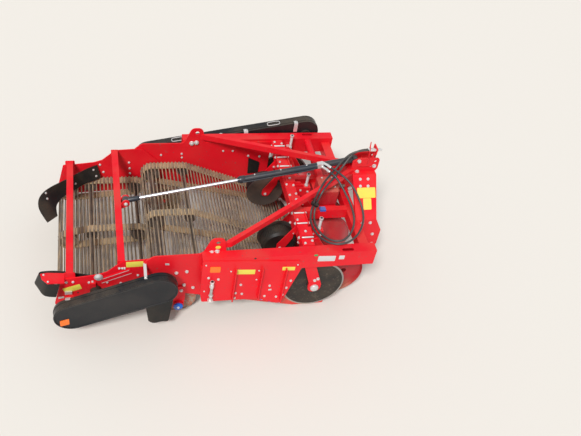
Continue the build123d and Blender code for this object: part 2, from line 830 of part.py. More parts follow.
def ridge_roller_arms():
    """Left roller frame: two arms from the tool beam, their cross tube and axle."""
    half = ROLLER_W / 2
    beam_front = TOOL_BEAM_X + TOOL_BEAM_S / 2
    corners = [
        (beam_front, TOOL_BEAM_Z + 45, 0),
        (beam_front, TOOL_BEAM_Z - 45, 0),
        (1050, 255, 50),
        (1150, 250, 50),
        (1150, 350, 50),
        (900, 760, 60),
        (850, TOOL_BEAM_Z + 45, 20),
    ]
    solid = pin(ROLLER_X, ROLLER_Z, ROLLER_AXLE_R, ROW_Y - half - 12, ROW_Y + half + 12)
    solid += pin(885, 655, 30, ROW_Y - half - 12, ROW_Y + half + 12)
    for y in (ROW_Y - half - 24, ROW_Y + half + 12):
        solid += across(outline(corners), y, y + 12)
    return solid


def haulm_roller():
    """Left haulm roller of rubber."""
    half = HAULM_W / 2
    bore = 15 + RUN_GAP
    profile = [
        (bore, -half),
        (HAULM_R - 20, -half),
        (HAULM_R, -half + 22),
        (HAULM_R, half - 22),
        (HAULM_R - 20, half),
        (bore, half),
    ]
    return turned(profile, HAULM_X, HAULM_Z, ROW_Y)


def haulm_disc():
    """Steel disc on the inner side of the left haulm roller."""
    half = HAULM_W / 2
    bore = 15 + RUN_GAP
    profile = [(bore, -half - 5), (HAULM_DISC_R, -half - 5), (HAULM_DISC_R, -half), (bore, -half)]
    return turned(profile, HAULM_X, HAULM_Z, ROW_Y)


def haulm_arms():
    """Left haulm roller's two arms on their plate, clamped with a second plate round the tool beam."""
    half = HAULM_W / 2
    beam_back = TOOL_BEAM_X - TOOL_BEAM_S / 2
    beam_front = TOOL_BEAM_X + TOOL_BEAM_S / 2
    reach = TOOL_BEAM_S / 2 + CLAMP_OVER
    plate_back = beam_back - CLAMP_T
    corners = [
        (plate_back, TOOL_BEAM_Z + 20, 0),
        (plate_back, TOOL_BEAM_Z - 125, 15),
        (HAULM_X + HAULM_EYE_R, HAULM_Z - HAULM_EYE_R, HAULM_EYE_R - 1),
        (HAULM_X - HAULM_EYE_R, HAULM_Z - HAULM_EYE_R, HAULM_EYE_R - 1),
        (HAULM_X - HAULM_EYE_R, HAULM_Z + HAULM_EYE_R + 10, HAULM_EYE_R),
    ]
    inner = ROW_Y - half - 22 - HAULM_ARM_T
    outer = ROW_Y + half + 12
    solid = pin(HAULM_X, HAULM_Z, 15, inner, outer + HAULM_ARM_T)
    for y in (inner, outer):
        solid += across(outline(corners), y, y + HAULM_ARM_T)
        solid += pin(HAULM_X, HAULM_Z, HAULM_EYE_R - 8, y - 4, y + HAULM_ARM_T)
    z_limits = (TOOL_BEAM_Z - reach, TOOL_BEAM_Z + reach)
    solid += block((plate_back, beam_back), (inner, outer + HAULM_ARM_T + 5), z_limits)
    front = block((beam_front, beam_front + CLAMP_T), (inner + 14, outer + HAULM_ARM_T + 5), z_limits)
    return group(solid, front)


def spindle_bracket(x, y):
    """Two cheeks on the front of the tool beam with the nut block of a depth spindle."""
    beam_front = TOOL_BEAM_X + TOOL_BEAM_S / 2
    top = TOOL_BEAM_Z + 28
    corners = [
        (beam_front, top, 0),
        (x + 40, top, 10),
        (x + 40, top - 55, 20),
        (x + 12, top - 110, 20),
        (x - 20, top - 110, 20),
        (beam_front, TOOL_BEAM_Z - TOOL_BEAM_S / 2, 0),
    ]
    block_x = (x - 26, x + 40)
    solid = block(block_x, (y - 30, y + 30), (top - 28, top)) - post(x, y, SPINDLE_R, top - 28, top)
    for cheek in (y - 30, y + 22):
        solid += across(outline(corners), cheek, cheek + 8)
    return solid


def spindles():
    """Threaded depth spindles: x, y, lower and upper end, and the foot that each stands on."""
    outside = SHEET_OUT + 20
    inside = PLATE_IN - 65
    table = [
        (870, inside, 780, 965, block((848, 892), (inside - 22, PLATE_OUT), (766, 780))),
        (*BRACKET_SPINDLES[0], 685, 965, None),
        (*BRACKET_SPINDLES[1], 720, 975, None),
        (-140, outside, 345, 455, block((-165, -115), (SHEET_OUT, outside + 20), (330, 345))),
        (-140, -outside, 345, 600, block((-165, -115), (-outside - 20, -SHEET_OUT), (330, 345))),
    ]
    pieces = []
    for x, y, low, high, foot in table:
        screw = post(x, y, SPINDLE_R, low, high)
        pieces.append(screw + foot if foot else screw)
    return group(*pieces)


def rear_flap(points, radius, lean=(0, 0)):
    """Rubber sheet along a bent line in plan, up to the rear tube's underside, its foot set off by a lean."""
    line = FilletPolyline(*points, radius=radius)
    strip = make_face(offset(line, amount=FLAP_T / 2, side=Side.BOTH, closed=True))
    height = FLAP_TOP - FLAP_LOW
    return extrude(Pos(0, 0, FLAP_TOP) * strip, height, dir=(-lean[0], -lean[1], -height))


def left_flap():
    """Flap that turns the crop in from the left plate, leaning inwards at its foot."""
    y = REAR_IN - FLAP_T / 2
    line = [
        (-1075, y),
        (-1160, y),
        (-1417, y - 199),
        (-1556, y - 374),
        (-1598, y - 488),
        (-1560, y - 634),
    ]
    return rear_flap(line, 55, FLAP_LEAN)


def right_flap():
    """Flap round the end of the right plate."""
    y = REAR_IN - FLAP_T / 2
    line = [
        (-1075, -y),
        (-1130, -y),
        (-1560, 83 - REAR_OUT),
        (-1598, 18 - REAR_OUT),
        (-1560, -72 - REAR_OUT),
        (-1450, -94 - REAR_OUT),
    ]
    return rear_flap(line, 25)


def flap_plate():
    """Plate on top of the right flap, bolted to the rear plate's top."""
    plan = [
        (-1576, 66 - REAR_OUT),
        (-1518, 74 - REAR_OUT),
        (-1379, 58 - REAR_OUT),
        (-1378, -50 - REAR_OUT),
        (-1515, -44 - REAR_OUT),
        (-1562, 10 - REAR_OUT),
    ]
    return extrude(Pos(0, 0, FLAP_TOP) * make_face(Polyline(*plan, close=True)), FLAP_PLATE_T)


def tube_plate():
    """Left end plate of the rear cross tube, on the inside of the rear plate."""
    half = TUBE_S / 2 + 15
    corners = [
        (REAR_TUBE_X - half, 520, 15),
        (REAR_TUBE_X - half, REAR_TUBE_TOP, 10),
        (REAR_TUBE_X + half, REAR_TUBE_TOP, 10),
        (REAR_TUBE_X + half, 520, 15),
    ]
    return across(outline(corners), REAR_IN - TUBE_PLATE_T, REAR_IN)


def rear_brackets():
    """Small steelwork of the rear frame: ears, tube ends, flap plate and cover stays."""
    stays = [pin(x, z, r, -RIGHT_COVER_Y, -REAR_OUT) for x, z, r in ((-1335, 320, 45), (-1000, 430, 30))]
    return group(lift_ears(), both(tube_plate()), flap_plate(), *stays)


def cover_apron(above):
    """Rubber apron that hangs from the right cover over the gap to the wheel."""
    y = RIGHT_COVER_Y + RIGHT_COVER_W * 0.7
    corners = [(-690, 130, 20), (-725, 520, 0), (-470, 520, 0), (-510, 130, 20)]
    return across(outline(corners), -y, -y + FLAP_T) - above


def hose_holder():
    """Plate over the headstock that holds the two hose couplers."""
    x, y, z = LIFT_ROUTE[0]
    x_low, x_high = x + COUPLER_L / 2, x + COUPLER_L / 2 + HOLDER_T
    y_low, y_high = y - 24, -HEAD_GAP / 2
    solid = block((x_low, x_high), (y_low, y_high + 24), (RETURN_ROUTE[0][2] - 26, z + 26))
    solid += block((x_low, x_high), (-HEAD_OUT, y_high), (HEAD_TOP, z - 26))
    for x, y, z in (LIFT_ROUTE[0], RETURN_ROUTE[0]):
        solid -= Pos(x_low, y, z) * Rot(0, 90, 0) * Cylinder(COUPLER_R, 4 * HOLDER_T)
    return solid


def clip_strip():
    """Strip on the right stringer's side that holds the clip of both hoses."""
    y, top = STRINGERS[1]
    side = y - STRINGER_W / 2
    return block((CLIP_X - CLIP_W / 2, CLIP_X + CLIP_W / 2), (side - CLIP_T, side), (top - 45, CLIP_Z))


def hose_couplers():
    """Two couplers in their holder, each with its narrower nose."""
    pieces = []
    for x, y, z in (LIFT_ROUTE[0], RETURN_ROUTE[0]):
        body = Pos(x + COUPLER_L / 2, y, z) * Rot(0, 90, 0) * Cylinder(COUPLER_R, COUPLER_L)
        nose = Pos(x + COUPLER_L * 1.25, y, z) * Rot(0, 90, 0) * Cylinder(COUPLER_R * 0.7, COUPLER_L / 2)
        pieces.append(body + nose)
    return group(*pieces)


def hose(points):
    """Round hose through hand-placed points, with arcs as large as its runs allow."""
    spots = [Vector(*p) for p in points]
    radii = []
    for before, here, after in zip(spots, spots[1:], spots[2:]):
        turn = radians((here - before).get_angle(after - here))
        radii.append(0.45 * min((here - before).length, (after - here).length) / tan(turn / 2))
    path = FilletPolyline(*spots, radius=radii)
    return sweep(Plane(origin=path @ 0, z_dir=path % 0) * Circle(HOSE_R), path), path.length, radii


def main():
    os.makedirs("parts", exist_ok=True)

    plate = side_plate()
    save("left_side_plate", plate)
    save("right_side_plate", mirrored(plate))
    save("left_rail", rail())
    save("right_rail", mirrored(rail()))
    sheet = outer_sheet()
    save("left_outer_sheet", sheet - cover_room())
    save("right_outer_sheet", mirrored(sheet))

    save("tool_beam", tool_beam())
    save("front_beam", front_beam())
    save("stringers", stringers())
    save("headstock_head", headstock_head())
    leg = headstock_leg()
    save("headstock_legs", both(leg))
    save("link_plates", both(link_plate()))
    save("link_pins", both(link_pin()))
    save("braces", both(brace() - leg))

    save("gearbox", gearbox())
    front_face = GEARBOX_X + GEARBOX_L / 2
    stub = Pos(front_face + STUB_L / 2, 0, STUB_Z) * Rot(0, 90, 0) * Cylinder(STUB_R, STUB_L)
    save("input_shaft", stub)
    drive_tube = pin(DRIVE_X, DRIVE_Z, DRIVE_R, GEARBOX_Y + GEARBOX_W / 2, PLATE_OUT)
    save("drive_tube", drive_tube)
    save("left_drive_cover", left_cover())

    save("drive_shaft", drive_shaft())
    front_idlers = [
        web_roller(roller, FRONT_ROD, IDLER_SHAFT_R, -PLATE_IN, PLATE_IN) for roller in FRONT_WEB[1:]
    ]
    save("front_web_rollers", group(*front_idlers))
    save("front_web_belts", web_belts(FRONT_WEB, FRONT_ROD))
    save("front_web_rods", web_rods(FRONT_WEB, FRONT_ROD))

    carrier = block((770, 850), (-PLATE_IN, PLATE_IN), (12, 50))
    save("shares", group(*[share_blade(y) for y in (-540, -180, 180, 540)]))
    save("share_carrier", carrier)

    save("coulter_arms", both(coulter_arm()))
    save("left_coulter", coulter_disc())
    save("right_coulter", mirrored(coulter_disc()))
    arms = ridge_roller_arms()
    save("left_roller_arms", arms)
    save("right_roller_arms", mirrored(arms))
    roller = ridge_roller()
    save("left_ridge_roller", roller)
    save("right_ridge_roller", mirrored(roller))
    save("haulm_arms", both(haulm_arms()))
    for side, turn in (("left", lambda shape: shape), ("right", mirrored)):
        save(f"{side}_haulm_roller", turn(haulm_roller()))
        save(f"{side}_haulm_disc", turn(haulm_disc()))
        save(f"{side}_support_wheel", turn(support_wheel()))
    save("wheel_legs", both(wheel_leg()))
    save("spindles", spindles())

    rear = rear_plate()
    save("left_rear_plate", rear)
    save("right_rear_plate", mirrored(rear))
    front_tube = cross_tube(FRONT_TUBE_X, REAR_TOP, REAR_IN)
    rear_tube = cross_tube(REAR_TUBE_X, REAR_TUBE_TOP, REAR_IN - TUBE_PLATE_T)
    save("rear_cross_tubes", group(front_tube, rear_tube))
    save("rear_brackets", rear_brackets())
    rear_rollers = [web_roller(roller, REAR_ROD, IDLER_SHAFT_R, -REAR_IN, REAR_IN) for roller in REAR_WEB]
    save("rear_web_rollers", group(*rear_rollers))
    save("rear_web_belts", web_belts(REAR_WEB, REAR_ROD))
    save("rear_web_rods", web_rods(REAR_WEB, REAR_ROD))
    chain_cover = right_cover()
    save("right_chain_cover", chain_cover)
    save("cover_apron", cover_apron(chain_cover))
    save("left_flap", left_flap())
    save("right_flap", right_flap())

    save("cylinder_barrel", cylinder_barrel())
    save("cylinder_rod", cylinder_rod())
    save("barrel_saddle", barrel_saddle())
    save("hose_holder", group(hose_holder(), clip_strip()))
    save("hose_couplers", hose_couplers())
    routes = (("lift_hose", LIFT_ROUTE), ("return_hose", RETURN_ROUTE))
    for (name, route), (start, way_out) in zip(routes, saddle_ports()):
        solid, length, radii = hose([*route, start + way_out * (PORT_L + PORT_GAP)])
        save(name, solid)
        print(name, round(length), "mm, tightest arc", round(min(radii)), "of", [round(r) for r in radii])
        print(name, "volume over section times length", round(solid.volume / (pi * HOSE_R**2 * length), 4))


main()
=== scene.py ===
"""Finishes and fine pieces of a carried two-row potato windrower, in metres.

+X is the way of travel, +Y the left side and +Z up, as in the frame that is loaded first.
"""

import json
import logging
from collections.abc import Sequence
from dataclasses import dataclass
from enum import Enum

import bmesh
import bpy
import numpy as np
from mathutils import Matrix, Vector


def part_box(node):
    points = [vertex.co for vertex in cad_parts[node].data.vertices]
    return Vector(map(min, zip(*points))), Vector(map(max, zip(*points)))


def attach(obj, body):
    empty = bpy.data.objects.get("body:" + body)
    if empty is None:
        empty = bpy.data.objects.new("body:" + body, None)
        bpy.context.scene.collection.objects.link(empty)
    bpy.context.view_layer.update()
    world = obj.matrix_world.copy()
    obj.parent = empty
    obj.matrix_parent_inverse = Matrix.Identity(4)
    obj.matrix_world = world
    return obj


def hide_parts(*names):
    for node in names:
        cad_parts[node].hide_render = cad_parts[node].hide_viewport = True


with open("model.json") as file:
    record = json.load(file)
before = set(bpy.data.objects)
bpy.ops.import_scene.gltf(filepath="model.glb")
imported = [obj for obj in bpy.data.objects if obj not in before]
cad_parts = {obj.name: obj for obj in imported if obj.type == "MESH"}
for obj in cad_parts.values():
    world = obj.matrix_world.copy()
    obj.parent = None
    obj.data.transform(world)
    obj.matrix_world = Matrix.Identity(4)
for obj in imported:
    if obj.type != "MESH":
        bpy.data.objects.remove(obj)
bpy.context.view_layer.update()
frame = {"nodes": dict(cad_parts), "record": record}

log = logging.getLogger("windrower")

Point = tuple[float, float, float]
Pair = tuple[float, float]
Colour = tuple[float, float, float]

# The photograph's camera: its sensor's width, its lens, its place and its two axes.
SENSOR_MM = 36.0
LENS_MM = 43.37
CAMERA_AT: Point = (-1.0187, -4.7684, 5.3467)
CAMERA_RIGHT: Point = (0.96598, -0.20953, 0.15158)
CAMERA_UP: Point = (0.04298, 0.70806, 0.70484)

SOIL: Colour = (0.44, 0.31, 0.18)
SOIL_ROUGH = 0.92
COAT_ROUGH = 0.15
RELIEF_HEIGHT = 0.002

# Ways that a face or a bolt looks. OUT leaves the machine's right side, and LEG_WAY a sloping leg.
OUT: Point = (0.0, -1.0, 0.0)
INWARD: Point = (0.0, 1.0, 0.0)
FORWARD: Point = (1.0, 0.0, 0.0)
REARWARD: Point = (-1.0, 0.0, 0.0)
UP: Point = (0.0, 0.0, 1.0)
LEG_WAY: Point = (0.0, -0.693, 0.721)


class Side(Enum):
    """The two sides of the machine, each with the sign of its Y."""

    LEFT = 1.0
    RIGHT = -1.0


@dataclass(frozen=True)
class Face:
    """An upright face along the machine's right side: its body, its y and the way it looks."""

    body: str
    y: float
    way: Point = OUT

    def at(self, *spots: Pair) -> tuple[Point, ...]:
        """Places on the face, each given as (x, z)."""
        return tuple((x, self.y, z) for x, z in spots)

    def patch(self, x: Pair, low: Pair, high: Pair) -> tuple[Point, ...]:
        """Corners of a patch with two upright edges: their x, then their lower and their upper z."""
        return self.at((x[0], low[0]), (x[1], low[1]), (x[1], high[1]), (x[0], high[0]))


SHEET = Face("main_frame", -0.865)
RAIL = Face("main_frame", -0.857)
PLATE = Face("main_frame", -0.757)
PLATE_INSIDE = Face("main_frame", -0.745, INWARD)
REAR_PLATE = Face("rear_frame", -0.738)
REAR_INSIDE = Face("rear_frame", -0.728, INWARD)
STRIP = Face("rear_frame", -0.744)
RIGHT_COVER_FACE = Face("rear_frame", -0.95)


# ---------------------------------------------------------------- meshes


@dataclass
class Form:
    """Corners and faces of a mesh that is still plain arrays."""

    points: np.ndarray
    faces: list[list[int]]

    def moved(self, offset: Sequence[float]) -> "Form":
        """The same form, shifted by an offset."""
        return Form(self.points + np.asarray(offset, float), self.faces)

    def turned(self, matrix: np.ndarray) -> "Form":
        """The same form, its points multiplied by a 3x3 matrix."""
        return Form(self.points @ np.asarray(matrix, float).T, self.faces)

    def mirrored(self) -> "Form":
        """The same form on the other side of the machine."""
        return Form(self.points * (1.0, -1.0, 1.0), [face[::-1] for face in self.faces])

    def twinned(self) -> "Form":
        """The form together with its mirror image."""
        return joined([self, self.mirrored()])

    def placed(self, way: Sequence[float], place: Sequence[float]) -> "Form":
        """The same form, its +Z turned to a way and its origin moved to a place."""
        return self.turned(facing(way)).moved(place)


def joined(forms: Sequence[Form]) -> Form:
    """Puts several forms into one.

    Args:
        forms: The forms, in any order.

    Returns:
        One form with all their points and faces.
    """
    starts = np.cumsum([0] + [len(form.points) for form in forms])
    pairs = list(zip(forms, starts.tolist()))
    faces = [[corner + start for corner in face] for form, start in pairs for face in form.faces]
    return Form(np.concatenate([form.points for form in forms]), faces)


def grid(points: np.ndarray, loop_u: bool = False, loop_v: bool = False, cap: bool = False) -> Form:
    """Quads over a grid of points.

    Face (i, j) joins the points (i, j), (i+1, j), (i+1, j+1) and (i, j+1), each index taken round
    its loop where the grid closes on itself.

    Args:
        points: Array of shape (rows, columns, 3).
        loop_u: Joins the last row to the first.
        loop_v: Joins the last column to the first.
        cap: Closes the first and the last row with one flat face each.

    Returns:
        The surface.
    """
    rows, columns = points.shape[:2]
    index = np.arange(rows * columns).reshape(rows, columns)
    below = np.roll(index, -1, 0) if loop_u else index[1:]
    here = index if loop_u else index[:-1]
    after_here, after_below = np.roll(here, -1, 1), np.roll(below, -1, 1)
    if not loop_v:
        here, below, after_here, after_below = (a[:, :-1] for a in (here, below, after_here, after_below))
    faces = np.stack([here, below, after_below, after_here], -1).reshape(-1, 4).tolist()
    if cap:
        faces += [index[0].tolist(), index[-1][::-1].tolist()]
    return Form(points.reshape(-1, 3), faces)


def lathe(profile: Sequence[Pair], sides: int) -> Form:
    """Solid turned about Z, closed by a flat face at each end.

    A profile point (r, h) goes to (r cos a, r sin a, h) at each of the evenly spaced angles a.

    Args:
        profile: Radius and height of each ring, from the lowest to the highest.
        sides: Number of sides.

    Returns:
        The solid.
    """
    angles = np.linspace(0, 2 * np.pi, sides, endpoint=False)
    r, h = np.asarray(profile, float).T
    rings = [np.outer(r, np.cos(angles)), np.outer(r, np.sin(angles)), np.outer(h, np.ones(sides))]
    return grid(np.stack(rings, -1), loop_v=True, cap=True)


def tube(
    path: Sequence[Point] | np.ndarray, radius: float | np.ndarray, sides: int = 10, closed: bool = False
) -> Form:
    """Round bar along a path.

    Each ring lies square to the path: the path's tangent crossed with a fixed direction gives one
    axis of the ring, and the tangent crossed with that axis gives the other.

    Args:
        path: Points along the middle, shape (n, 3).
        radius: Radius of the bar, one number or one for each point.
        sides: Number of sides.
        closed: Joins the end to the start.

    Returns:
        The bar, with flat ends where it is open.
    """
    path = np.asarray(path, float)
    tangent = np.roll(path, -1, 0) - np.roll(path, 1, 0) if closed else np.gradient(path, axis=0)
    tangent /= np.linalg.norm(tangent, axis=1, keepdims=True)
    steady = np.eye(3)[np.argmin(np.abs(tangent).max(0))]
    first = np.cross(tangent, steady)
    first /= np.linalg.norm(first, axis=1, keepdims=True)
    second = np.cross(tangent, first)
    angles = np.linspace(0, 2 * np.pi, sides, endpoint=False)
    ring = first[:, None] * np.cos(angles)[:, None] + second[:, None] * np.sin(angles)[:, None]
    thick = np.broadcast_to(radius, len(path))[:, None, None]
    return grid(path[:, None] + thick * ring, loop_u=closed, loop_v=True, cap=not closed)


def smooth(points: Sequence[Sequence[float]], steps: int) -> np.ndarray:
    """Smooth line between given points.

    Each inner point P bends the line as the middle one of a parabola, (1-t)^2 A + 2 t (1-t) P +
    t^2 B, where A and B are the middles of the two runs that meet at P, or the line's own ends.

    Args:
        points: The points, at least three.
        steps: Points on each parabola.

    Returns:
        Array of the points on the line.
    """
    points = np.asarray(points, float)
    middles = (points[:-1] + points[1:]) / 2
    middles[0], middles[-1] = points[0], points[-1]
    t = np.linspace(0, 1, steps, endpoint=False)[:, None]
    start, bend, end = (a[:, None] for a in (middles[:-1], points[1:-1], middles[1:]))
    curve = (1 - t) ** 2 * start + 2 * t * (1 - t) * bend + t**2 * end
    return np.vstack([curve.reshape(-1, points.shape[1]), points[-1:]])


def evenly(line: np.ndarray, count: int, closed: bool = True) -> np.ndarray:
    """Evenly spaced points on a line, which runs back to its start where it is closed."""
    line = np.vstack([line, line[:1]]) if closed else line
    far = np.concatenate([[0], np.cumsum(np.linalg.norm(np.diff(line, axis=0), axis=1))])
    spots = np.linspace(0, far[-1], count, endpoint=not closed)
    return np.column_stack([np.interp(spots, far, column) for column in line.T])


def copies(form: Form, places: Sequence[Point] | np.ndarray, turns: np.ndarray) -> Form:
    """Copies of a form in many places.

    Args:
        form: The form round its own origin.
        places: Where each copy goes, shape (n, 3).
        turns: A 3x3 matrix that turns them all, or one for each, shape (n, 3, 3).

    Returns:
        All the copies as one form.
    """
    places = np.asarray(places, float)
    turns = np.broadcast_to(turns, (len(places), 3, 3))
    points = np.einsum("nij,kj->nki", turns, form.points) + places[:, None]
    starts = (np.arange(len(places)) * len(form.points)).tolist()
    faces = [[corner + start for corner in face] for start in starts for face in form.faces]
    return Form(points.reshape(-1, 3), faces)


def brick(low: Sequence[float], high: Sequence[float]) -> Form:
    """Box between two corners."""
    xs, ys, zs = zip(low, high)
    corners = np.array([[x, y, z] for x in xs for y in ys for z in zs])
    faces = [[0, 1, 3, 2], [4, 6, 7, 5], [0, 4, 5, 1], [2, 3, 7, 6], [0, 2, 6, 4], [1, 5, 7, 3]]
    return Form(corners, faces)


def facing(direction: Sequence[float]) -> np.ndarray:
    """Rotation that turns +Z to a direction."""
    return np.array(Vector(direction).to_track_quat("Z", "Y").to_matrix())


# ---------------------------------------------------------------- finishes


@dataclass
class Wiring:
    """Short names for building a node tree."""

    tree: bpy.types.NodeTree

    def node(self, kind: str, **settings: object) -> bpy.types.Node:
        """Adds a node and sets its properties."""
        made = self.tree.nodes.new(kind)
        for key, value in settings.items():
            setattr(made, key, value)
        return made

    def feed(self, target: bpy.types.NodeSocket, source: object) -> None:
        """Links a socket to its source, or sets it to a plain value."""
        if isinstance(source, bpy.types.NodeSocket):
            self.tree.links.new(source, target)
        elif target.type == "RGBA" and isinstance(source, tuple) and len(source) == 3:
            target.default_value = (*source, 1.0)
        else:
            target.default_value = source

    def blend(self, share: object, first: object, second: object) -> bpy.types.NodeSocket:
        """Colour that goes from the first to the second with a share from 0 to 1."""
        mix = self.node("ShaderNodeMix", data_type="RGBA")
        for socket, value in zip((mix.inputs[0], mix.inputs[6], mix.inputs[7]), (share, first, second)):
            self.feed(socket, value)
        return mix.outputs[2]

    def remap(self, value: bpy.types.NodeSocket, source: Pair, target: Pair) -> bpy.types.NodeSocket:
        """Value moved from one span to another and held inside it."""
        made = self.node("ShaderNodeMapRange")
        for socket, number in zip(made.inputs[:5], (value, *source, *target)):
            self.feed(socket, number)
        return made.outputs[0]

    def maths(self, operation: str, *values: object) -> bpy.types.NodeSocket:
        """Result of one sum of one or two values."""
        made = self.node("ShaderNodeMath", operation=operation)
        for socket, value in zip(made.inputs, values):
            self.feed(socket, value)
        return made.outputs[0]

    def noise(self, place: bpy.types.NodeSocket, scale: object, detail: float = 4.0) -> bpy.types.NodeSocket:
        """Noise from 0 to 1 at a place."""
        made = self.node("ShaderNodeTexNoise")
        self.feed(made.inputs["Vector"], place)
        self.feed(made.inputs["Scale"], scale)
        made.inputs["Detail"].default_value = detail
        return made.outputs["Fac"]

    def shared(self, name: str, **values: float) -> bpy.types.NodeSocket:
        """Places a shared group with its own values and gives its output."""
        made = self.node("ShaderNodeGroup", node_tree=GROUPS[name])
        for key, value in values.items():
            made.inputs[key].default_value = value
        return made.outputs[0]


def group(name: str, inputs: dict[str, float], output: str) -> tuple[Wiring, bpy.types.Node, bpy.types.Node]:
    """Starts a shader node group with number inputs and one number output.

    Args:
        name: Name of the group.
        inputs: Each input's name and first value.
        output: Name of the output.

    Returns:
        Its wiring, its input node and its output node.
    """
    tree = bpy.data.node_groups.new(name, "ShaderNodeTree")
    for key, value in inputs.items():
        tree.interface.new_socket(key, in_out="INPUT", socket_type="NodeSocketFloat").default_value = value
    tree.interface.new_socket(output, in_out="OUTPUT", socket_type="NodeSocketFloat")
    wiring = Wiring(tree)
    return wiring, wiring.node("NodeGroupInput"), wiring.node("NodeGroupOutput")


def make_soil_group() -> bpy.types.NodeTree:
    """Mask of dry soil: cloudy patches, thicker where a face looks up and where it is low."""
    inputs = {"Scale": 4.0, "Amount": 0.4, "Top": 0.5, "Reach": 0.6}
    wiring, given, result = group("soil_mask", inputs, "Mask")
    place = wiring.node("ShaderNodeTexCoord").outputs["Object"]
    clouds = wiring.noise(place, given.outputs["Scale"], 6.0)
    grains = wiring.noise(place, 90.0, 2.0)
    clouds, grains = wiring.maths("MULTIPLY", clouds, 0.8), wiring.maths("MULTIPLY", grains, 0.2)
    patches = wiring.maths("ADD", clouds, grains)
    spread = wiring.remap(patches, (0.42, 0.62), (0.0, 1.0))
    normal = wiring.node("ShaderNodeSeparateXYZ")
    wiring.feed(normal.inputs[0], wiring.node("ShaderNodeNewGeometry").outputs["Normal"])
    upward = wiring.remap(normal.outputs["Z"], (0.2, 1.0), (0.0, 1.0))
    up = wiring.maths("MULTIPLY", upward, given.outputs["Top"])
    height = wiring.node("ShaderNodeSeparateXYZ")
    wiring.feed(height.inputs[0], place)
    depth = wiring.node("ShaderNodeMath", operation="DIVIDE", use_clamp=True)
    wiring.feed(depth.inputs[0], height.outputs["Z"])
    wiring.feed(depth.inputs[1], given.outputs["Reach"])
    low = wiring.maths("MULTIPLY", wiring.maths("SUBTRACT", 1.0, depth.outputs[0]), 0.6)
    share = wiring.maths("ADD", given.outputs["Amount"], wiring.maths("MAXIMUM", up, low))
    mask = wiring.node("ShaderNodeMath", operation="MULTIPLY", use_clamp=True)
    wiring.feed(mask.inputs[0], spread)
    wiring.feed(mask.inputs[1], share)
    wiring.feed(result.inputs["Mask"], mask.outputs[0])
    return wiring.tree


def make_mottle_group() -> bpy.types.NodeTree:
    """Slow unevenness of a colour, from 0 to 1."""
    wiring, given, result = group("slow_mottle", {"Scale": 3.0}, "Value")
    place = wiring.node("ShaderNodeTexCoord").outputs["Object"]
    slow = wiring.noise(place, given.outputs["Scale"], 3.0)
    wiring.feed(result.inputs["Value"], wiring.remap(slow, (0.3, 0.7), (0.0, 1.0)))
    return wiring.tree


def make_grain_group() -> bpy.types.NodeTree:
    """Height of a fine uneven skin."""
    wiring, given, result = group("skin_grain", {"Scale": 220.0}, "Height")
    place = wiring.node("ShaderNodeTexCoord").outputs["Object"]
    wiring.feed(result.inputs["Height"], wiring.noise(place, given.outputs["Scale"], 2.0))
    return wiring.tree


GROUPS: dict[str, bpy.types.NodeTree] = {}


@dataclass(frozen=True)
class Finish:
    """A painted, bare or moulded surface with soil on it.

    The base goes from one tone to a second by a slow mottle, small scuffs show a third tone, and a
    mask of dry soil lies over all three.
    """

    tone: Colour
    second: Colour
    scuff: Colour = (0.25, 0.22, 0.2)
    scuffs: float = 0.0
    metal: float = 0.0
    rough: float = 0.4
    coat: float = 0.0
    shine: float = 0.5
    soil: float = 0.15
    soil_top: float = 0.3
    soil_scale: float = 4.0
    soil_reach: float = 0.5
    relief: float = 0.05

    def build(self, name: str) -> bpy.types.Material:
        """Makes the material.

        Args:
            name: The material's name.

        Returns:
            A material on one Principled shader.
        """
        material = bpy.data.materials.new(name)
        material.use_nodes = True
        wiring = Wiring(material.node_tree)
        shader = material.node_tree.nodes["Principled BSDF"]
        soil = wiring.shared("soil", Scale=self.soil_scale, Amount=self.soil, Top=self.soil_top,
                             Reach=self.soil_reach)
        paint = wiring.blend(wiring.shared("mottle"), self.tone, self.second)
        spots = wiring.noise(wiring.node("ShaderNodeTexCoord").outputs["Object"], 38.0, 8.0)
        share = 0.2 * self.scuffs
        worn = wiring.remap(spots, (0.66 - share, 0.7 - share), (0.0, 1.0 if self.scuffs else 0.0))
        bare = wiring.blend(worn, paint, self.scuff)
        wiring.feed(shader.inputs["Base Color"], wiring.blend(soil, bare, SOIL))
        wiring.feed(shader.inputs["Roughness"], wiring.remap(soil, (0.0, 1.0), (self.rough, SOIL_ROUGH)))
        if self.metal:
            wiring.feed(shader.inputs["Metallic"], wiring.remap(soil, (0.0, 1.0), (self.metal, 0.0)))
        shader.inputs["Specular IOR Level"].default_value = self.shine
        shader.inputs["Coat Weight"].default_value = self.coat
        shader.inputs["Coat Roughness"].default_value = COAT_ROUGH
        bump = wiring.node("ShaderNodeBump")
        bump.inputs["Strength"].default_value = self.relief
        bump.inputs["Distance"].default_value = RELIEF_HEIGHT
        wiring.feed(bump.inputs["Height"], wiring.shared("grain"))
        wiring.feed(shader.inputs["Normal"], bump.outputs[0])
        return material


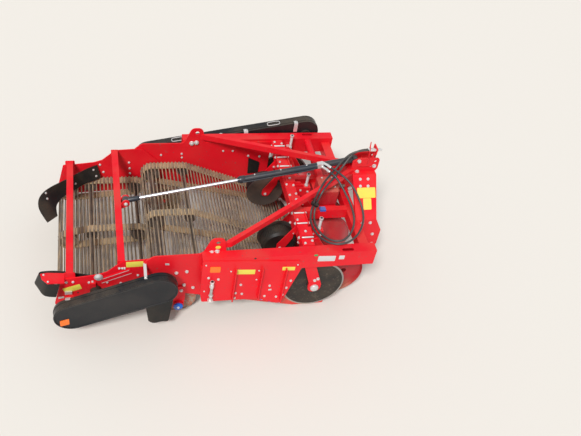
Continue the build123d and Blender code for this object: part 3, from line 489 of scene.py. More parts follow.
class Look(Enum):
    """Every finish of the machine, named for the record's slot or for the small piece that has it."""

    red_paint = Finish(
        (0.8, 0.008, 0.02), (0.72, 0.007, 0.017), scuff=(0.5, 0.05, 0.05), scuffs=0.04, rough=0.36,
        coat=0.06, shine=0.2, soil=0.03, soil_top=0.07, soil_reach=0.3,
    )
    worn_steel = Finish(
        (0.12, 0.1, 0.09), (0.22, 0.19, 0.17), metal=0.7, rough=0.45, soil=0.25, soil_top=0.3,
    )
    coulter_steel = Finish(
        (0.014, 0.013, 0.012), (0.026, 0.021, 0.017), scuff=(0.06, 0.05, 0.04), scuffs=0.3, metal=0.2,
        rough=0.4, shine=0.35, soil=0.06, soil_top=0.03, soil_scale=7.0, soil_reach=0.06,
    )
    bright_edge = Finish(
        (0.3, 0.3, 0.3), (0.42, 0.42, 0.41), metal=0.85, rough=0.3, soil=0.15, soil_top=0.1,
    )
    zinc = Finish((0.8, 0.79, 0.76), (0.68, 0.68, 0.67), metal=0.6, rough=0.4, soil=0.04, soil_top=0.06)
    black_plastic = Finish(
        (0.008, 0.009, 0.011), (0.013, 0.015, 0.019), rough=0.3, shine=0.3, soil=0.03, soil_top=0.12,
        soil_scale=3.0, soil_reach=0.12, relief=0.08,
    )
    rubber = Finish(
        (0.009, 0.009, 0.009), (0.016, 0.016, 0.015), rough=0.45, shine=0.25, soil=0.04, soil_top=0.07,
        soil_reach=0.1, relief=0.2,
    )
    chrome = Finish(
        (0.86, 0.87, 0.9), (0.8, 0.81, 0.84), metal=0.9, rough=0.3, soil=0.0, soil_top=0.03, relief=0.0,
    )
    belt = Finish(
        (0.42, 0.29, 0.16), (0.56, 0.4, 0.23), rough=0.85, soil=0.5, soil_top=0.4, soil_scale=9.0,
        relief=0.3,
    )
    rod_steel = Finish(
        (0.3, 0.24, 0.18), (0.19, 0.15, 0.115), metal=0.35, rough=0.5, soil=0.5, soil_top=0.3,
        soil_scale=11.0,
    )
    black_paint = Finish(
        (0.02, 0.025, 0.034), (0.03, 0.035, 0.045), rough=0.32, coat=0.2, shine=0.4, soil=0.04,
        soil_top=0.08,
    )
    cast_iron = Finish(
        (0.62, 0.01, 0.03), (0.45, 0.01, 0.02), rough=0.5, shine=0.3, soil=0.15, soil_top=0.3, relief=0.3,
    )
    # Ridge roller red, darker than red_paint: partly worn paint, partly painted shade of the roller's inside
    # under the frame.
    roller_paint = Finish(
        (0.46, 0.008, 0.018), (0.34, 0.01, 0.018), scuff=(0.12, 0.06, 0.05), scuffs=0.1, rough=0.4,
        shine=0.35, soil=0.06, soil_top=0.05, soil_reach=0.2,
    )
    wheel_steel = Finish(
        (0.4, 0.03, 0.03), (0.25, 0.12, 0.08), scuff=(0.3, 0.27, 0.24), scuffs=0.7, rough=0.5, soil=0.5,
        soil_top=0.4,
    )
    hose_rubber = Finish(
        (0.032, 0.034, 0.036), (0.045, 0.047, 0.05), rough=0.38, soil=0.04, soil_top=0.06, relief=0.15,
    )
    orange_lens = Finish((0.9, 0.17, 0.006), (0.84, 0.14, 0.005), rough=0.2, coat=0.4, shine=0.3, soil=0.03)
    yellow_film = Finish((0.8, 0.7, 0.1), (0.74, 0.64, 0.08), rough=0.4, shine=0.3, soil=0.04)
    pale_plate = Finish((0.6, 0.6, 0.6), (0.68, 0.68, 0.67), metal=0.3, rough=0.4, soil=0.06)
    green_film = Finish((0.04, 0.3, 0.08), (0.05, 0.34, 0.1), rough=0.4, shine=0.3, soil=0.04)
    blue_cap = Finish((0.01, 0.11, 0.52), (0.015, 0.14, 0.6), rough=0.45, shine=0.3, soil=0.12)


# The ridge rollers take the darker roller red, which holds painted shade.
OWN_LOOKS: dict[str, Look] = {
    "left_coulter": Look.coulter_steel, "right_coulter": Look.coulter_steel,
    "left_ridge_roller": Look.roller_paint, "right_ridge_roller": Look.roller_paint,
}
MATERIALS: dict[Look, bpy.types.Material] = {}


def build_finishes() -> None:
    """Makes the shared groups and then every finish."""
    GROUPS.update(soil=make_soil_group(), mottle=make_mottle_group(), grain=make_grain_group())
    MATERIALS.update({look: look.value.build(look.name) for look in Look})


def dress_nodes() -> None:
    """Gives each loaded node its own finish, or else the one that its record slot names."""
    slots = {row["node"]: row["material_slot"] for row in frame["record"]["subparts"]}
    for name, node in frame["nodes"].items():
        material = MATERIALS[OWN_LOOKS.get(name) or Look[slots[name]]]
        if not node.material_slots:
            node.data.materials.append(material)
        for slot in node.material_slots:
            slot.material = material


def piece(
    name: str, form: Form, look: Look, body: str, slot: str = "", angle: float = 40.0
) -> bpy.types.Object:
    """Makes a piece of the object and lets it ride on its body.

    Args:
        name: Name of the piece.
        form: Its points and faces.
        look: Its finish.
        body: The body that it moves with.
        slot: The record's material slot, where the finish isn't named for it; not used.
        angle: Faces that meet under this angle, in degrees, are shaded as one.

    Returns:
        The new object, at the origin.
    """
    slot = slot or look.name
    mesh = bpy.data.meshes.new(name)
    mesh.from_pydata(form.points.tolist(), [], form.faces)
    work = bmesh.new()
    work.from_mesh(mesh)
    bmesh.ops.recalc_face_normals(work, faces=work.faces)
    work.to_mesh(mesh)
    work.free()
    mesh.materials.append(MATERIALS[look])
    mesh.shade_smooth()
    mesh.set_sharp_from_angle(angle=np.radians(angle))
    made = bpy.data.objects.new(name, mesh)
    bpy.context.scene.collection.objects.link(made)
    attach(made, body)
    log.info("%s: %d faces on %s", name, len(form.faces), body)
    return made


# ---------------------------------------------------------------- hoses


@dataclass
class Hoses:
    """The two hoses of the lift cylinder, from their couplers over the headstock to the barrel's ports."""

    diameter: float = 0.019
    lift_length: float = 2.496
    return_length: float = 2.184
    lift_route: tuple[Point, ...] = (
        (1.414, -0.078, 1.385), (1.312, -0.078, 1.385), (1.214, -0.07, 1.346), (1.145, -0.071, 1.258),
        (1.07, -0.106, 1.16), (0.985, -0.185, 1.14), (0.885, -0.308, 1.119), (0.859, -0.318, 0.96),
        (0.834, -0.359, 0.87), (0.817, -0.459, 0.84), (0.833, -0.587, 0.838), (0.886, -0.724, 0.865),
        (0.977, -0.794, 0.893), (1.084, -0.789, 0.906), (1.197, -0.711, 0.922), (1.273, -0.593, 0.96),
        (1.285, -0.487, 1.01), (1.254, -0.395, 1.079), (1.195, -0.29, 1.165), (1.081, -0.151, 1.206),
        (1.0186, -0.0691, 1.1933),
    )
    return_route: tuple[Point, ...] = (
        (1.414, -0.05, 1.372), (1.318, -0.05, 1.372), (1.226, -0.058, 1.318), (1.147, -0.118, 1.238),
        (1.091, -0.142, 1.146), (0.983, -0.248, 1.13), (0.922, -0.311, 1.1), (0.888, -0.341, 1.03),
        (0.881, -0.335, 0.95), (0.859, -0.381, 0.885), (0.85, -0.47, 0.848), (0.866, -0.585, 0.852),
        (0.912, -0.68, 0.858), (0.978, -0.738, 0.873), (1.066, -0.743, 0.893), (1.148, -0.672, 0.925),
        (1.191, -0.567, 0.965), (1.188, -0.462, 1.012), (1.153, -0.344, 1.065), (1.104, -0.232, 1.128),
        (1.05, -0.166, 1.177), (1.0062, -0.1014, 1.1684),
    )

    def lay(self, name: str, route: Sequence[Point]) -> bpy.types.Object:
        """Lays one hose as a smooth curve with the route's points as its control points.

        Args:
            name: The hose's name, which is also its node's with another ending.
            route: Control points from the port to the coupler's end.

        Returns:
            The curve.
        """
        curve = bpy.data.curves.new(name, "CURVE")
        curve.dimensions = "3D"
        curve.bevel_depth = self.diameter / 2
        curve.bevel_resolution = 3
        curve.resolution_u = 10
        curve.use_fill_caps = True
        spline = curve.splines.new("NURBS")
        spline.points.add(len(route) - 1)
        spline.points.foreach_set("co", np.column_stack([route, np.ones(len(route))]).ravel())
        spline.order_u = 3
        spline.use_endpoint_u = True
        curve.materials.append(MATERIALS[Look.hose_rubber])
        made = bpy.data.objects.new(name, curve)
        bpy.context.scene.collection.objects.link(made)
        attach(made, "main_frame")
        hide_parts(name.removesuffix("_line"))
        return made

    def build(self) -> None:
        """Lays both hoses and puts their crimped sleeves on."""
        self.lay("lift_hose_line", self.lift_route[::-1])
        self.lay("return_hose_line", self.return_route[::-1])
        crimp = [(0.0118, 0.0), (0.0128, 0.004), (0.0128, 0.03), (0.0118, 0.034), (0.0105, 0.036)]
        sleeve = lathe(crimp, 20)
        for name, end, inner, body in (
            ("coupler_sleeves", 0, 1, "main_frame"),
            ("port_sleeves", -1, -2, "cylinder_barrel"),
        ):
            spots = [np.asarray((route[end], route[inner])) for route in (self.lift_route, self.return_route)]
            sleeves = joined([sleeve.placed(then - start, start) for start, then in spots])
            piece(name, sleeves, Look.zinc, body)


# ---------------------------------------------------------------- fasteners


def bolt(size: float) -> Form:
    """Hexagon head, 1.74 sizes wide over its corners, with a stud's end, on a washer of 2.1 sizes."""
    washer = lathe([(1.0, 0.0), (1.05, 0.05), (1.05, 0.14), (1.0, 0.19)], 20)
    head = lathe([(0.8, 0.18), (0.87, 0.25), (0.87, 0.72), (0.74, 0.82)], 6)
    stud = lathe([(0.44, 0.8), (0.44, 0.98), (0.36, 1.04)], 10)
    whole = joined([washer, head, stud])
    return Form(whole.points * size, whole.faces)


@dataclass(frozen=True)
class BoltRow:
    """Bolts of one size, each given by where its washer meets its face.

    A twin row also stands mirrored on the other side.
    """

    name: str
    body: str
    way: Point
    size: float
    places: tuple[Point, ...]
    twin: bool = True

    def build(self) -> None:
        """Makes the row as one piece."""
        row = copies(bolt(self.size), self.places, facing(self.way))
        piece(self.name, row.twinned() if self.twin else row, Look.zinc, self.body, angle=30)


def face_row(name: str, face: Face, size: float, *spots: Pair) -> BoltRow:
    """Twin row on one face, each bolt given as (x, z)."""
    return BoltRow(name, face.body, face.way, size, face.at(*spots))


BOLT_ROWS = [
    face_row(
        "sheet_bolts", SHEET, 0.012, (-0.173, 0.632), (-0.085, 0.604), (0.125, 0.509), (0.088, 0.395),
        (0.148, 0.378), (0.085, 0.325), (0.396, 0.468), (0.366, 0.322), (0.48, 0.3), (0.588, 0.519),
        (0.56, 0.422), (0.536, 0.324),
    ),
    face_row(
        "sheet_rivets", SHEET, 0.008, (0.272, 0.688), (0.262, 0.567), (-0.205, 0.8), (0.62, 0.735),
        (-0.2, 0.45), (0.02, 0.7),
    ),
    BoltRow(
        "plate_bolts", "main_frame", OUT, 0.016, ((-0.366, -0.757, 0.43), (-0.284, -0.757, 0.385),
        (-0.39, -0.772, 0.37), (-0.434, -0.772, 0.37), (-0.44, -0.757, 0.6), (-0.35, -0.757, 0.61)),
    ),
    face_row("lug_bolts", PLATE, 0.024, (-0.147, 0.842), (-0.1, 0.85)),
    face_row("lug_nuts", PLATE_INSIDE, 0.024, (-0.147, 0.828), (-0.1, 0.836)),
    face_row(
        "inner_bolts", PLATE_INSIDE, 0.011, (-0.242, 0.691), (-0.238, 0.642), (0.183, 0.719),
        (0.284, 0.717), (-0.6, 0.62), (-0.45, 0.68),
    ),
    BoltRow(
        "leg_bolts", "main_frame", LEG_WAY, 0.014, ((1.349, -0.131, 1.07), (1.428, -0.131, 1.07),
        (1.347, -0.179, 1.024), (1.425, -0.18, 1.023)),
    ),
    face_row("head_bolts", Face("main_frame", -0.054), 0.02, (1.322, 1.232), (1.33, 1.103), (1.488, 1.17)),
    face_row(
        "link_bolts", Face("main_frame", -0.4125), 0.016, (1.36, 0.76), (1.44, 0.76), (1.36, 0.715),
        (1.5, 0.6),
    ),
    BoltRow(
        "clamp_nuts", "main_frame", REARWARD, 0.0145, ((0.668, -0.333, 0.852), (0.668, -0.468, 0.852),
        (0.668, -0.333, 0.728), (0.668, -0.468, 0.728), (0.68, -0.62, 0.8), (0.68, -0.62, 0.76),
        (0.664, -0.647, 0.852), (0.664, -0.218, 0.852)),
    ),
    BoltRow(
        "clamp_heads", "main_frame", FORWARD, 0.012, ((0.792, -0.333, 0.852), (0.792, -0.468, 0.852),
        (0.792, -0.333, 0.728), (0.792, -0.468, 0.728)),
    ),
    BoltRow(
        "beam_bolts", "main_frame", UP, 0.012, ((0.7, -0.41, 0.84), (0.776, -0.69, 0.848),
        (0.705, -0.715, 0.848), (0.74, -0.57, 0.85), (0.7, -0.075, 0.84), (0.765, -0.06, 0.84),
        (0.745, -0.15, 0.852)),
    ),
    face_row("guard_bolts", PLATE_INSIDE, 0.013, (0.455, 0.645), (0.576, 0.635)),
    face_row("haulm_eyes", Face("main_frame", -0.477), 0.014, (0.56, 0.54)),
    face_row("haulm_inner_eyes", Face("main_frame", -0.269, INWARD), 0.014, (0.56, 0.54)),
    BoltRow(
        "bracket_bolts", "main_frame", OUT, 0.012, ((0.825, -0.55, 0.79), (0.9, -0.55, 0.77),
        (0.84, 0.04, 0.79), (0.915, 0.04, 0.77)), False,
    ),
    face_row("coulter_arm_bolts", Face("main_frame", -0.817), 0.016, (0.842, 0.44), (0.87, 0.46)),
    face_row("roller_axle_bolts", Face("main_frame", -0.654), 0.02, (1.1, 0.301)),
    face_row(
        "rear_plate_bolts", REAR_PLATE, 0.012, (-1.367, 0.543), (-1.312, 0.542), (-1.181, 0.523),
        (-1.152, 0.531), (-0.925, 0.685), (-0.9, 0.683), (-0.882, 0.681), (-1.03, 0.51), (-0.77, 0.58),
        (-0.916, 0.488),
    ),
    face_row(
        "rear_inner_bolts", REAR_INSIDE, 0.012, (-0.768, 0.604), (-0.762, 0.528), (-0.759, 0.46),
        (-1.051, 0.583), (-1.021, 0.487), (-0.913, 0.491),
    ),
    face_row("lift_eye_bolts", Face("rear_frame", -0.05), 0.018, (-0.835, 0.776)),
    BoltRow(
        "flap_plate_bolts", "rear_frame", UP, 0.009, ((-1.547, -0.686, 0.595),
        (-1.51, -0.765, 0.595)), False,
    ),
]


@dataclass
class BeamClamps:
    """Long bolts and small plates that clamp the haulm rollers' arms to the tool beam."""

    radius: float = 0.008
    span: Pair = (0.662, 0.797)
    plates: tuple[tuple[Point, Point], ...] = (
        ((0.688, -0.625, 0.838), (0.8, -0.512, 0.85)), ((0.69, -0.742, 0.838), (0.79, -0.662, 0.848)),
        ((0.7, -0.2, 0.838), (0.792, -0.1, 0.852)), ((0.663, -0.66, 0.8), (0.682, -0.634, 0.872)),
        ((0.663, -0.232, 0.8), (0.682, -0.204, 0.872)),
    )

    def build(self) -> None:
        """Makes the bolts along X above and below the beam, and the plates on its top."""
        start, end = self.span
        places = [(start, y, z) for y in (-0.333, -0.468) for z in (0.852, 0.728)]
        places += [(start, y, 0.852) for y in (-0.647, -0.218)]
        rod = lathe([(self.radius - 0.001, 0.0), (self.radius, 0.002), (self.radius, end - start)], 12)
        piece("clamp_rods", copies(rod, places, facing(FORWARD)).twinned(), Look.zinc, "main_frame")
        plates = joined([brick(low, high) for low, high in self.plates])
        piece("clamp_plates", plates.twinned(), Look.red_paint, "main_frame")


@dataclass
class HoleShadeDiscs:
    """Black discs of painted shade where small holes stand, which are not cut through the plates: name, face,
    radius and (x, z).
    """

    holes: tuple[tuple[str, Face, float, Pair], ...] = (
        ("rail_hole", RAIL, 0.01, (0.222, 0.842)),
        ("rear_plate_hole", REAR_PLATE, 0.008, (-1.279, 0.395)),
    )

    def build(self) -> None:
        """Makes one thin black disc of painted shade for each hole."""
        for name, face, radius, spot in self.holes:
            disc = lathe([(radius, -0.0003), (radius, 0.0004)], 20).placed(face.way, *face.at(spot))
            piece(name, disc, Look.rubber, face.body)


@dataclass
class ThreadedSpindles:
    """Threads and nuts of the depth spindles, each given as x, y, low end, top and the nut's seat."""

    radius: float = 0.0135
    core: float = 0.0118
    pitch: float = 0.006
    nut: float = 0.02
    spindles: tuple[tuple[float, float, float, float, float], ...] = (
        (0.87, 0.68, 0.78, 0.965, 0.80),
        (0.885, -0.52, 0.83, 0.965, 0.818),
        (0.9, 0.07, 0.83, 0.975, 0.818),
        (-0.14, 0.885, 0.37, 0.455, 0.4),
        (-0.14, -0.885, 0.37, 0.6, 0.4),
        (-0.14, -0.885, 0.37, 0.56, 0.52),
    )

    def build(self) -> None:
        """Makes one piece of all threads, with a nut at each seat and each top."""
        nut = lathe([(0.018, 0), (0.0205, 0.003), (0.0205, self.nut - 0.003), (0.018, self.nut)], 6)
        forms = []
        for x, y, low, high, seat in self.spindles:
            turns = np.arange(2 * int((high - low) / self.pitch) + 1)
            width = np.where(turns % 2, self.radius, self.core)
            thread = lathe(list(zip(width, low + turns * self.pitch / 2)), 14)
            forms += [thread.moved((x, y, 0)), nut.moved((x, y, seat)), nut.moved((x, y, high - self.nut))]
        piece("spindle_threads", joined(forms), Look.zinc, "main_frame", angle=25)


# ---------------------------------------------------------------- labels and plates


@dataclass(frozen=True)
class Label:
    """A bare sticker, plate or reflector between four corners, given round its outline."""

    name: str
    look: Look
    body: str
    corners: tuple[Point, ...]
    thick: float = 0.0008
    rounding: float = 0.08
    twin: bool = False

    def form(self) -> Form:
        """Rounded rectangle mapped to the corners.

        A point (u, v) of the unit square goes to (1-u)(1-v) A + u (1-v) B + u v C + (1-u) v D, and
        the upper ring is lifted off the lower one along the normal.
        """
        a, b, c, d = (np.asarray(corner) for corner in self.corners)
        wide = np.linalg.norm(b - a) / np.linalg.norm(d - a)
        r = self.rounding
        quarter = np.linspace(0, np.pi / 2, 4)
        arc = np.column_stack([1 - np.cos(quarter), 1 - np.sin(quarter)])
        spots = np.vstack([
            arc * (r / wide, r),
            (1, 0) + arc[::-1] * (-r / wide, r),
            (1, 1) - arc * (r / wide, r),
            (0, 1) + arc[::-1] * (r / wide, -r),
        ])
        u, v = spots[:, :1], spots[:, 1:]
        flat = (1 - u) * (1 - v) * a + u * (1 - v) * b + u * v * c + (1 - u) * v * d
        normal = np.cross(b - a, d - a)
        normal /= np.linalg.norm(normal)
        middle = flat.mean(0)
        inner = middle + (flat - middle) * 0.985
        rings = [flat - normal * 0.0004, flat + normal * self.thick * 0.7, inner + normal * self.thick]
        return grid(np.stack(rings), loop_v=True, cap=True)

    def build(self) -> None:
        """Makes the label."""
        form = self.form()
        piece(self.name, form.twinned() if self.twin else form, self.look, self.body, "black_plastic", 30)


def label_on(face: Face, name: str, look: Look, x: Pair, low: Pair, high: Pair, **more: float) -> Label:
    """Label on one face: its x limits, then its lower and its upper z at each of them."""
    return Label(name, look, face.body, face.patch(x, low, high), **more)


LABELS = [
    label_on(
        SHEET, "side_reflector", Look.orange_lens, (-0.168, -0.076), (0.706, 0.699), (0.777, 0.77),
        thick=0.005, rounding=0.12, twin=True,
    ),
    label_on(
        RIGHT_COVER_FACE, "cover_reflector", Look.orange_lens, (-1.436, -1.358), (0.214, 0.238),
        (0.286, 0.31), thick=0.005, rounding=0.12,
    ),
    label_on(SHEET, "yellow_sticker_1", Look.yellow_film, (0.066, 0.238), (0.656, 0.642), (0.717, 0.703)),
    label_on(SHEET, "yellow_sticker_2", Look.yellow_film, (0.484, 0.602), (0.67, 0.66), (0.717, 0.707)),
    Label(
        "yellow_sticker_3", Look.yellow_film, REAR_PLATE.body, REAR_PLATE.at((-1.379, 0.393),
        (-1.243, 0.446), (-1.26, 0.509), (-1.407, 0.457)),
    ),
    Label(
        "tension_strip", Look.red_paint, REAR_PLATE.body, REAR_PLATE.at((-1.085, 0.497), (-0.812, 0.609),
        (-0.838, 0.672), (-1.108, 0.56)), thick=0.006,
    ),
    Label(
        "strip_slot_top", Look.pale_plate, STRIP.body, STRIP.at((-1.095, 0.547), (-0.845, 0.653),
        (-0.847, 0.659), (-1.097, 0.553)),
    ),
    Label(
        "strip_slot_low", Look.pale_plate, STRIP.body, STRIP.at((-1.074, 0.506), (-0.824, 0.612),
        (-0.826, 0.618), (-1.076, 0.512)),
    ),
    label_on(
        PLATE, "small_plate_1", Look.pale_plate, (-0.54, -0.505), (0.711, 0.706), (0.734, 0.729),
        thick=0.001,
    ),
    label_on(
        REAR_PLATE, "small_plate_2", Look.pale_plate, (-1.447, -1.398), (0.327, 0.333), (0.351, 0.357),
        thick=0.001,
    ),
    label_on(
        SHEET, "small_plate_3", Look.pale_plate, (0.392, 0.422), (0.397, 0.397), (0.417, 0.417),
        thick=0.001,
    ),
    label_on(RAIL, "green_sticker", Look.green_film, (0.757, 0.79), (0.828, 0.826), (0.85, 0.848)),
    label_on(
        REAR_PLATE, "yellow_sticker_4", Look.yellow_film, (-0.868, -0.724), (0.69, 0.69), (0.757, 0.757),
    ),
    label_on(
        PLATE, "lug_sticker", Look.yellow_film, (-0.118, -0.072), (0.885, 0.885), (0.92, 0.92),
        rounding=0.45,
    ),
    label_on(
        RAIL, "rail_plate", Look.pale_plate, (0.8, 0.965), (0.755, 0.745), (0.825, 0.815), thick=0.001,
    ),
    label_on(RAIL, "rail_sticker", Look.pale_plate, (0.998, 1.05), (0.765, 0.762), (0.815, 0.812)),
    Label(
        "leg_sticker_top", Look.yellow_film, "main_frame", ((1.312, -0.262, 0.944), (1.497, -0.262, 0.944),
        (1.497, -0.19, 1.0136), (1.312, -0.19, 1.0136)),
    ),
    Label(
        "leg_sticker_stem", Look.yellow_film, "main_frame", ((1.368, -0.343, 0.8667),
        (1.45, -0.343, 0.8667), (1.45, -0.264, 0.9426), (1.368, -0.264, 0.9426)),
    ),
]


# ---------------------------------------------------------------- covers and flaps


@dataclass
class DriveCover:
    """Trim of a drive cover that runs round two circles, each given as x, z and radius."""

    name: str
    side: Side
    body: str
    rear: tuple[float, float, float]
    front: tuple[float, float, float]
    inner: float
    outer: float
    screws: int
    lip: float = 0.005
    screw_inset: float = 0.024
    seam_share: float = 0.3

    def outline(self, inset: float, count: int = 120) -> np.ndarray:
        """Points (x, z) round the cover, drawn in by an inset.

        For each angle a, the circle that reaches farther along (cos a, sin a) gives the point
        centre + (r - inset) (cos a, sin a), which is the outline of a belt round both circles.
        """
        angles = np.linspace(0, 2 * np.pi, count, endpoint=False)
        way = np.column_stack([np.cos(angles), np.sin(angles)])
        circles = np.array([self.rear, self.front])
        farther = circles[(circles[:, :2] @ way.T + circles[:, 2:]).argmax(0)]
        return evenly(farther[:, :2] + (farther[:, 2:] - inset) * way, count)

    def ring(self, section: Sequence[Pair]) -> Form:
        """Closed band round the cover, its section given as (inset, y)."""
        rows = [np.insert(self.outline(inset), 1, self.side.value * y, axis=1) for inset, y in section]
        return grid(np.stack(rows), loop_u=True, loop_v=True)

    def top(self, x: float) -> float:
        """Height of the cover's top edge at a place along it."""
        (x0, z0, r0), (x1, z1, r1) = self.rear, self.front
        share = (x - x0) / (x1 - x0)
        return z0 + share * (z1 - z0) + (r0 + share * (r1 - r0)) * np.hypot(1, (z1 - z0) / (x1 - x0))

    def build(self) -> None:
        """Makes the lip round the outer face, the seam round the side wall and the screws."""
        y, lip = self.outer, self.lip
        rim = self.ring([(0.001, y - 0.004), (-0.002, y), (0.0, y + lip), (0.004, y + lip + 0.002),
                         (0.011, y + lip), (0.014, y - 0.001)])
        seam_y = self.inner + (self.outer - self.inner) * self.seam_share
        seam = self.ring([(0.001, seam_y - 0.007), (-0.0045, seam_y - 0.005), (-0.0045, seam_y + 0.005),
                          (0.001, seam_y + 0.007)])
        piece(f"{self.name}_trim", joined([rim, seam]), Look.black_plastic, self.body)
        if self.screws:
            self.screw_row()

    def screw_row(self) -> None:
        """Makes the row of screws inside the lip."""
        spots = evenly(self.outline(self.screw_inset), self.screws)
        places = np.insert(spots, 1, self.side.value * self.outer, axis=1)
        dome = lathe([(0.009, 0.0), (0.009, 0.0015), (0.006, 0.0045), (0.002, 0.0055)], 14)
        screws = copies(dome, places, facing((0, self.side.value, 0)))
        piece(f"{self.name}_screws", screws, Look.zinc, self.body)


LEFT_COVER = DriveCover(
    "left_cover", Side.LEFT, "main_frame", (-0.55, 0.533, 0.135), (1.075, 0.844, 0.14), 0.88, 0.98, 16
)
RIGHT_COVER = DriveCover(
    "right_cover", Side.RIGHT, "rear_frame", (-1.335, 0.32, 0.15), (-0.598, 0.585, 0.155), 0.86, 0.95, 0
)


@dataclass
class CoverFittings:
    """Wire handles, straps, hub, post and cap that go with the two drive covers."""

    wire: float = 0.0045
    handle_length: float = 0.13
    handle_width: float = 0.055
    thick: float = 0.003
    stud: float = 0.01
    hub_at: Point = (-1.13, -0.74, 0.437)
    cap_at: Point = (-1.1, -0.738, 0.585)

    def handle(self, x: float) -> Form:
        """Folded wire handle on the left cover's top, a flat oval.

        The wire follows (l/2 sign(c) |c|^0.5, w/2 sign(s) |s|^0.5), with c and s the cosine and the
        sine of an angle that runs round once.
        """
        cover = LEFT_COVER
        rise = (cover.front[1] - cover.rear[1]) / (cover.front[0] - cover.rear[0])
        along = np.array([1, 0, rise]) / np.hypot(1, rise)
        angle = np.linspace(0, 2 * np.pi, 48, endpoint=False)
        c, s = np.cos(angle), np.sin(angle)
        out = self.handle_length / 2 * np.sign(c) * np.abs(c) ** 0.5
        side = self.handle_width / 2 * np.sign(s) * np.abs(s) ** 0.5
        middle = np.array([x, 0.93, cover.top(x) + 0.007])
        path = middle + out[:, None] * along + side[:, None] * INWARD
        return tube(path, self.wire, 8, closed=True)

    def strap(self, side: Side, path: Sequence[Point], width: float) -> Form:
        """Flat strap along a path in one upright plane across the machine, its width along x."""
        line = np.asarray(path, float)
        run = np.gradient(line, axis=0)
        normal = np.column_stack([0 * run[:, 0], -run[:, 2], run[:, 1]])
        normal *= self.thick / np.linalg.norm(normal, axis=1, keepdims=True)
        half = np.array([width / 2, 0, 0])
        section = [line - half, line + half, line + half + normal, line - half + normal]
        form = grid(np.stack(section, 1), loop_v=True, cap=True)
        return Form(form.points * (1, side.value, 1), form.faces)

    def left(self) -> None:
        """Makes the left cover's handles and straps."""
        piece("cover_handles", joined([self.handle(-0.262), self.handle(0.727)]), Look.zinc, "main_frame")
        forms, studs = [], []
        for x, width in ((0.175, 0.03), (0.43, 0.045), (0.955, 0.04)):
            top = LEFT_COVER.top(x)
            path = [(x, 0.868, top - 0.1), (x, 0.869, top - 0.01), (x, 0.876, top + 0.003),
                    (x, 0.91, top + 0.005)]
            forms.append(self.strap(Side.LEFT, path, width))
            studs.append((x, 0.9, top + 0.006))
        bolts = copies(bolt(self.stud), studs, facing(UP))
        piece("left_cover_straps", joined([*forms, bolts]), Look.zinc, "main_frame")

    def right(self) -> None:
        """Makes the right cover's strap and its latch with the block under it."""
        x, z, top = -0.714, 0.742, RIGHT_COVER.top(-0.714)
        path = [(x, 0.74, z - 0.05), (x, 0.742, z - 0.005), (x, 0.752, z), (x, 0.8, (z + top) / 2 + 0.006),
                (x, 0.862, top + 0.004), (x, 0.9, top + 0.004)]
        strap = self.strap(Side.RIGHT, path, 0.025)
        stud = bolt(self.stud).moved((x, -0.885, top + 0.007))
        x, top = -1.357, RIGHT_COVER.top(-1.357)
        path = [(x, 0.846, top - 0.02), (x, 0.85, top), (x, 0.858, top + 0.004), (x, 0.88, top + 0.004)]
        block = brick((-1.387, -0.754, 0.395), (-1.327, -0.737, 0.428))
        latch = self.strap(Side.RIGHT, path, 0.045)
        piece("right_cover_straps", joined([strap, latch, block, stud]), Look.zinc, "rear_frame")

    def build(self) -> None:
        """Makes the fittings of both covers, and the hub, post and cap on the rear plate."""
        self.left()
        self.right()
        hub = lathe([(0.03, 0), (0.046, 0.004), (0.048, 0.05), (0.044, 0.058), (0.048, 0.066),
                     (0.046, 0.116), (0.03, 0.12)], 28)
        piece("cover_hub", hub.placed(OUT, self.hub_at), Look.rubber, "rear_frame")
        post = brick((-1.173, -0.762, 0.455), (-1.126, -0.737, 0.528))
        piece("cover_post", post, Look.red_paint, "rear_frame")
        cap = lathe([(0.038, 0), (0.038, 0.006), (0.032, 0.008), (0.03, 0.016), (0.02, 0.022),
                     (0.008, 0.024)], 32)
        piece("bearing_cap", cap.placed(OUT, self.cap_at), Look.zinc, "rear_frame")


def level(z: float, *spots: Pair) -> list[Point]:
    """Places at one height, each given as (x, y)."""
    return [(x, y, z) for x, y in spots]


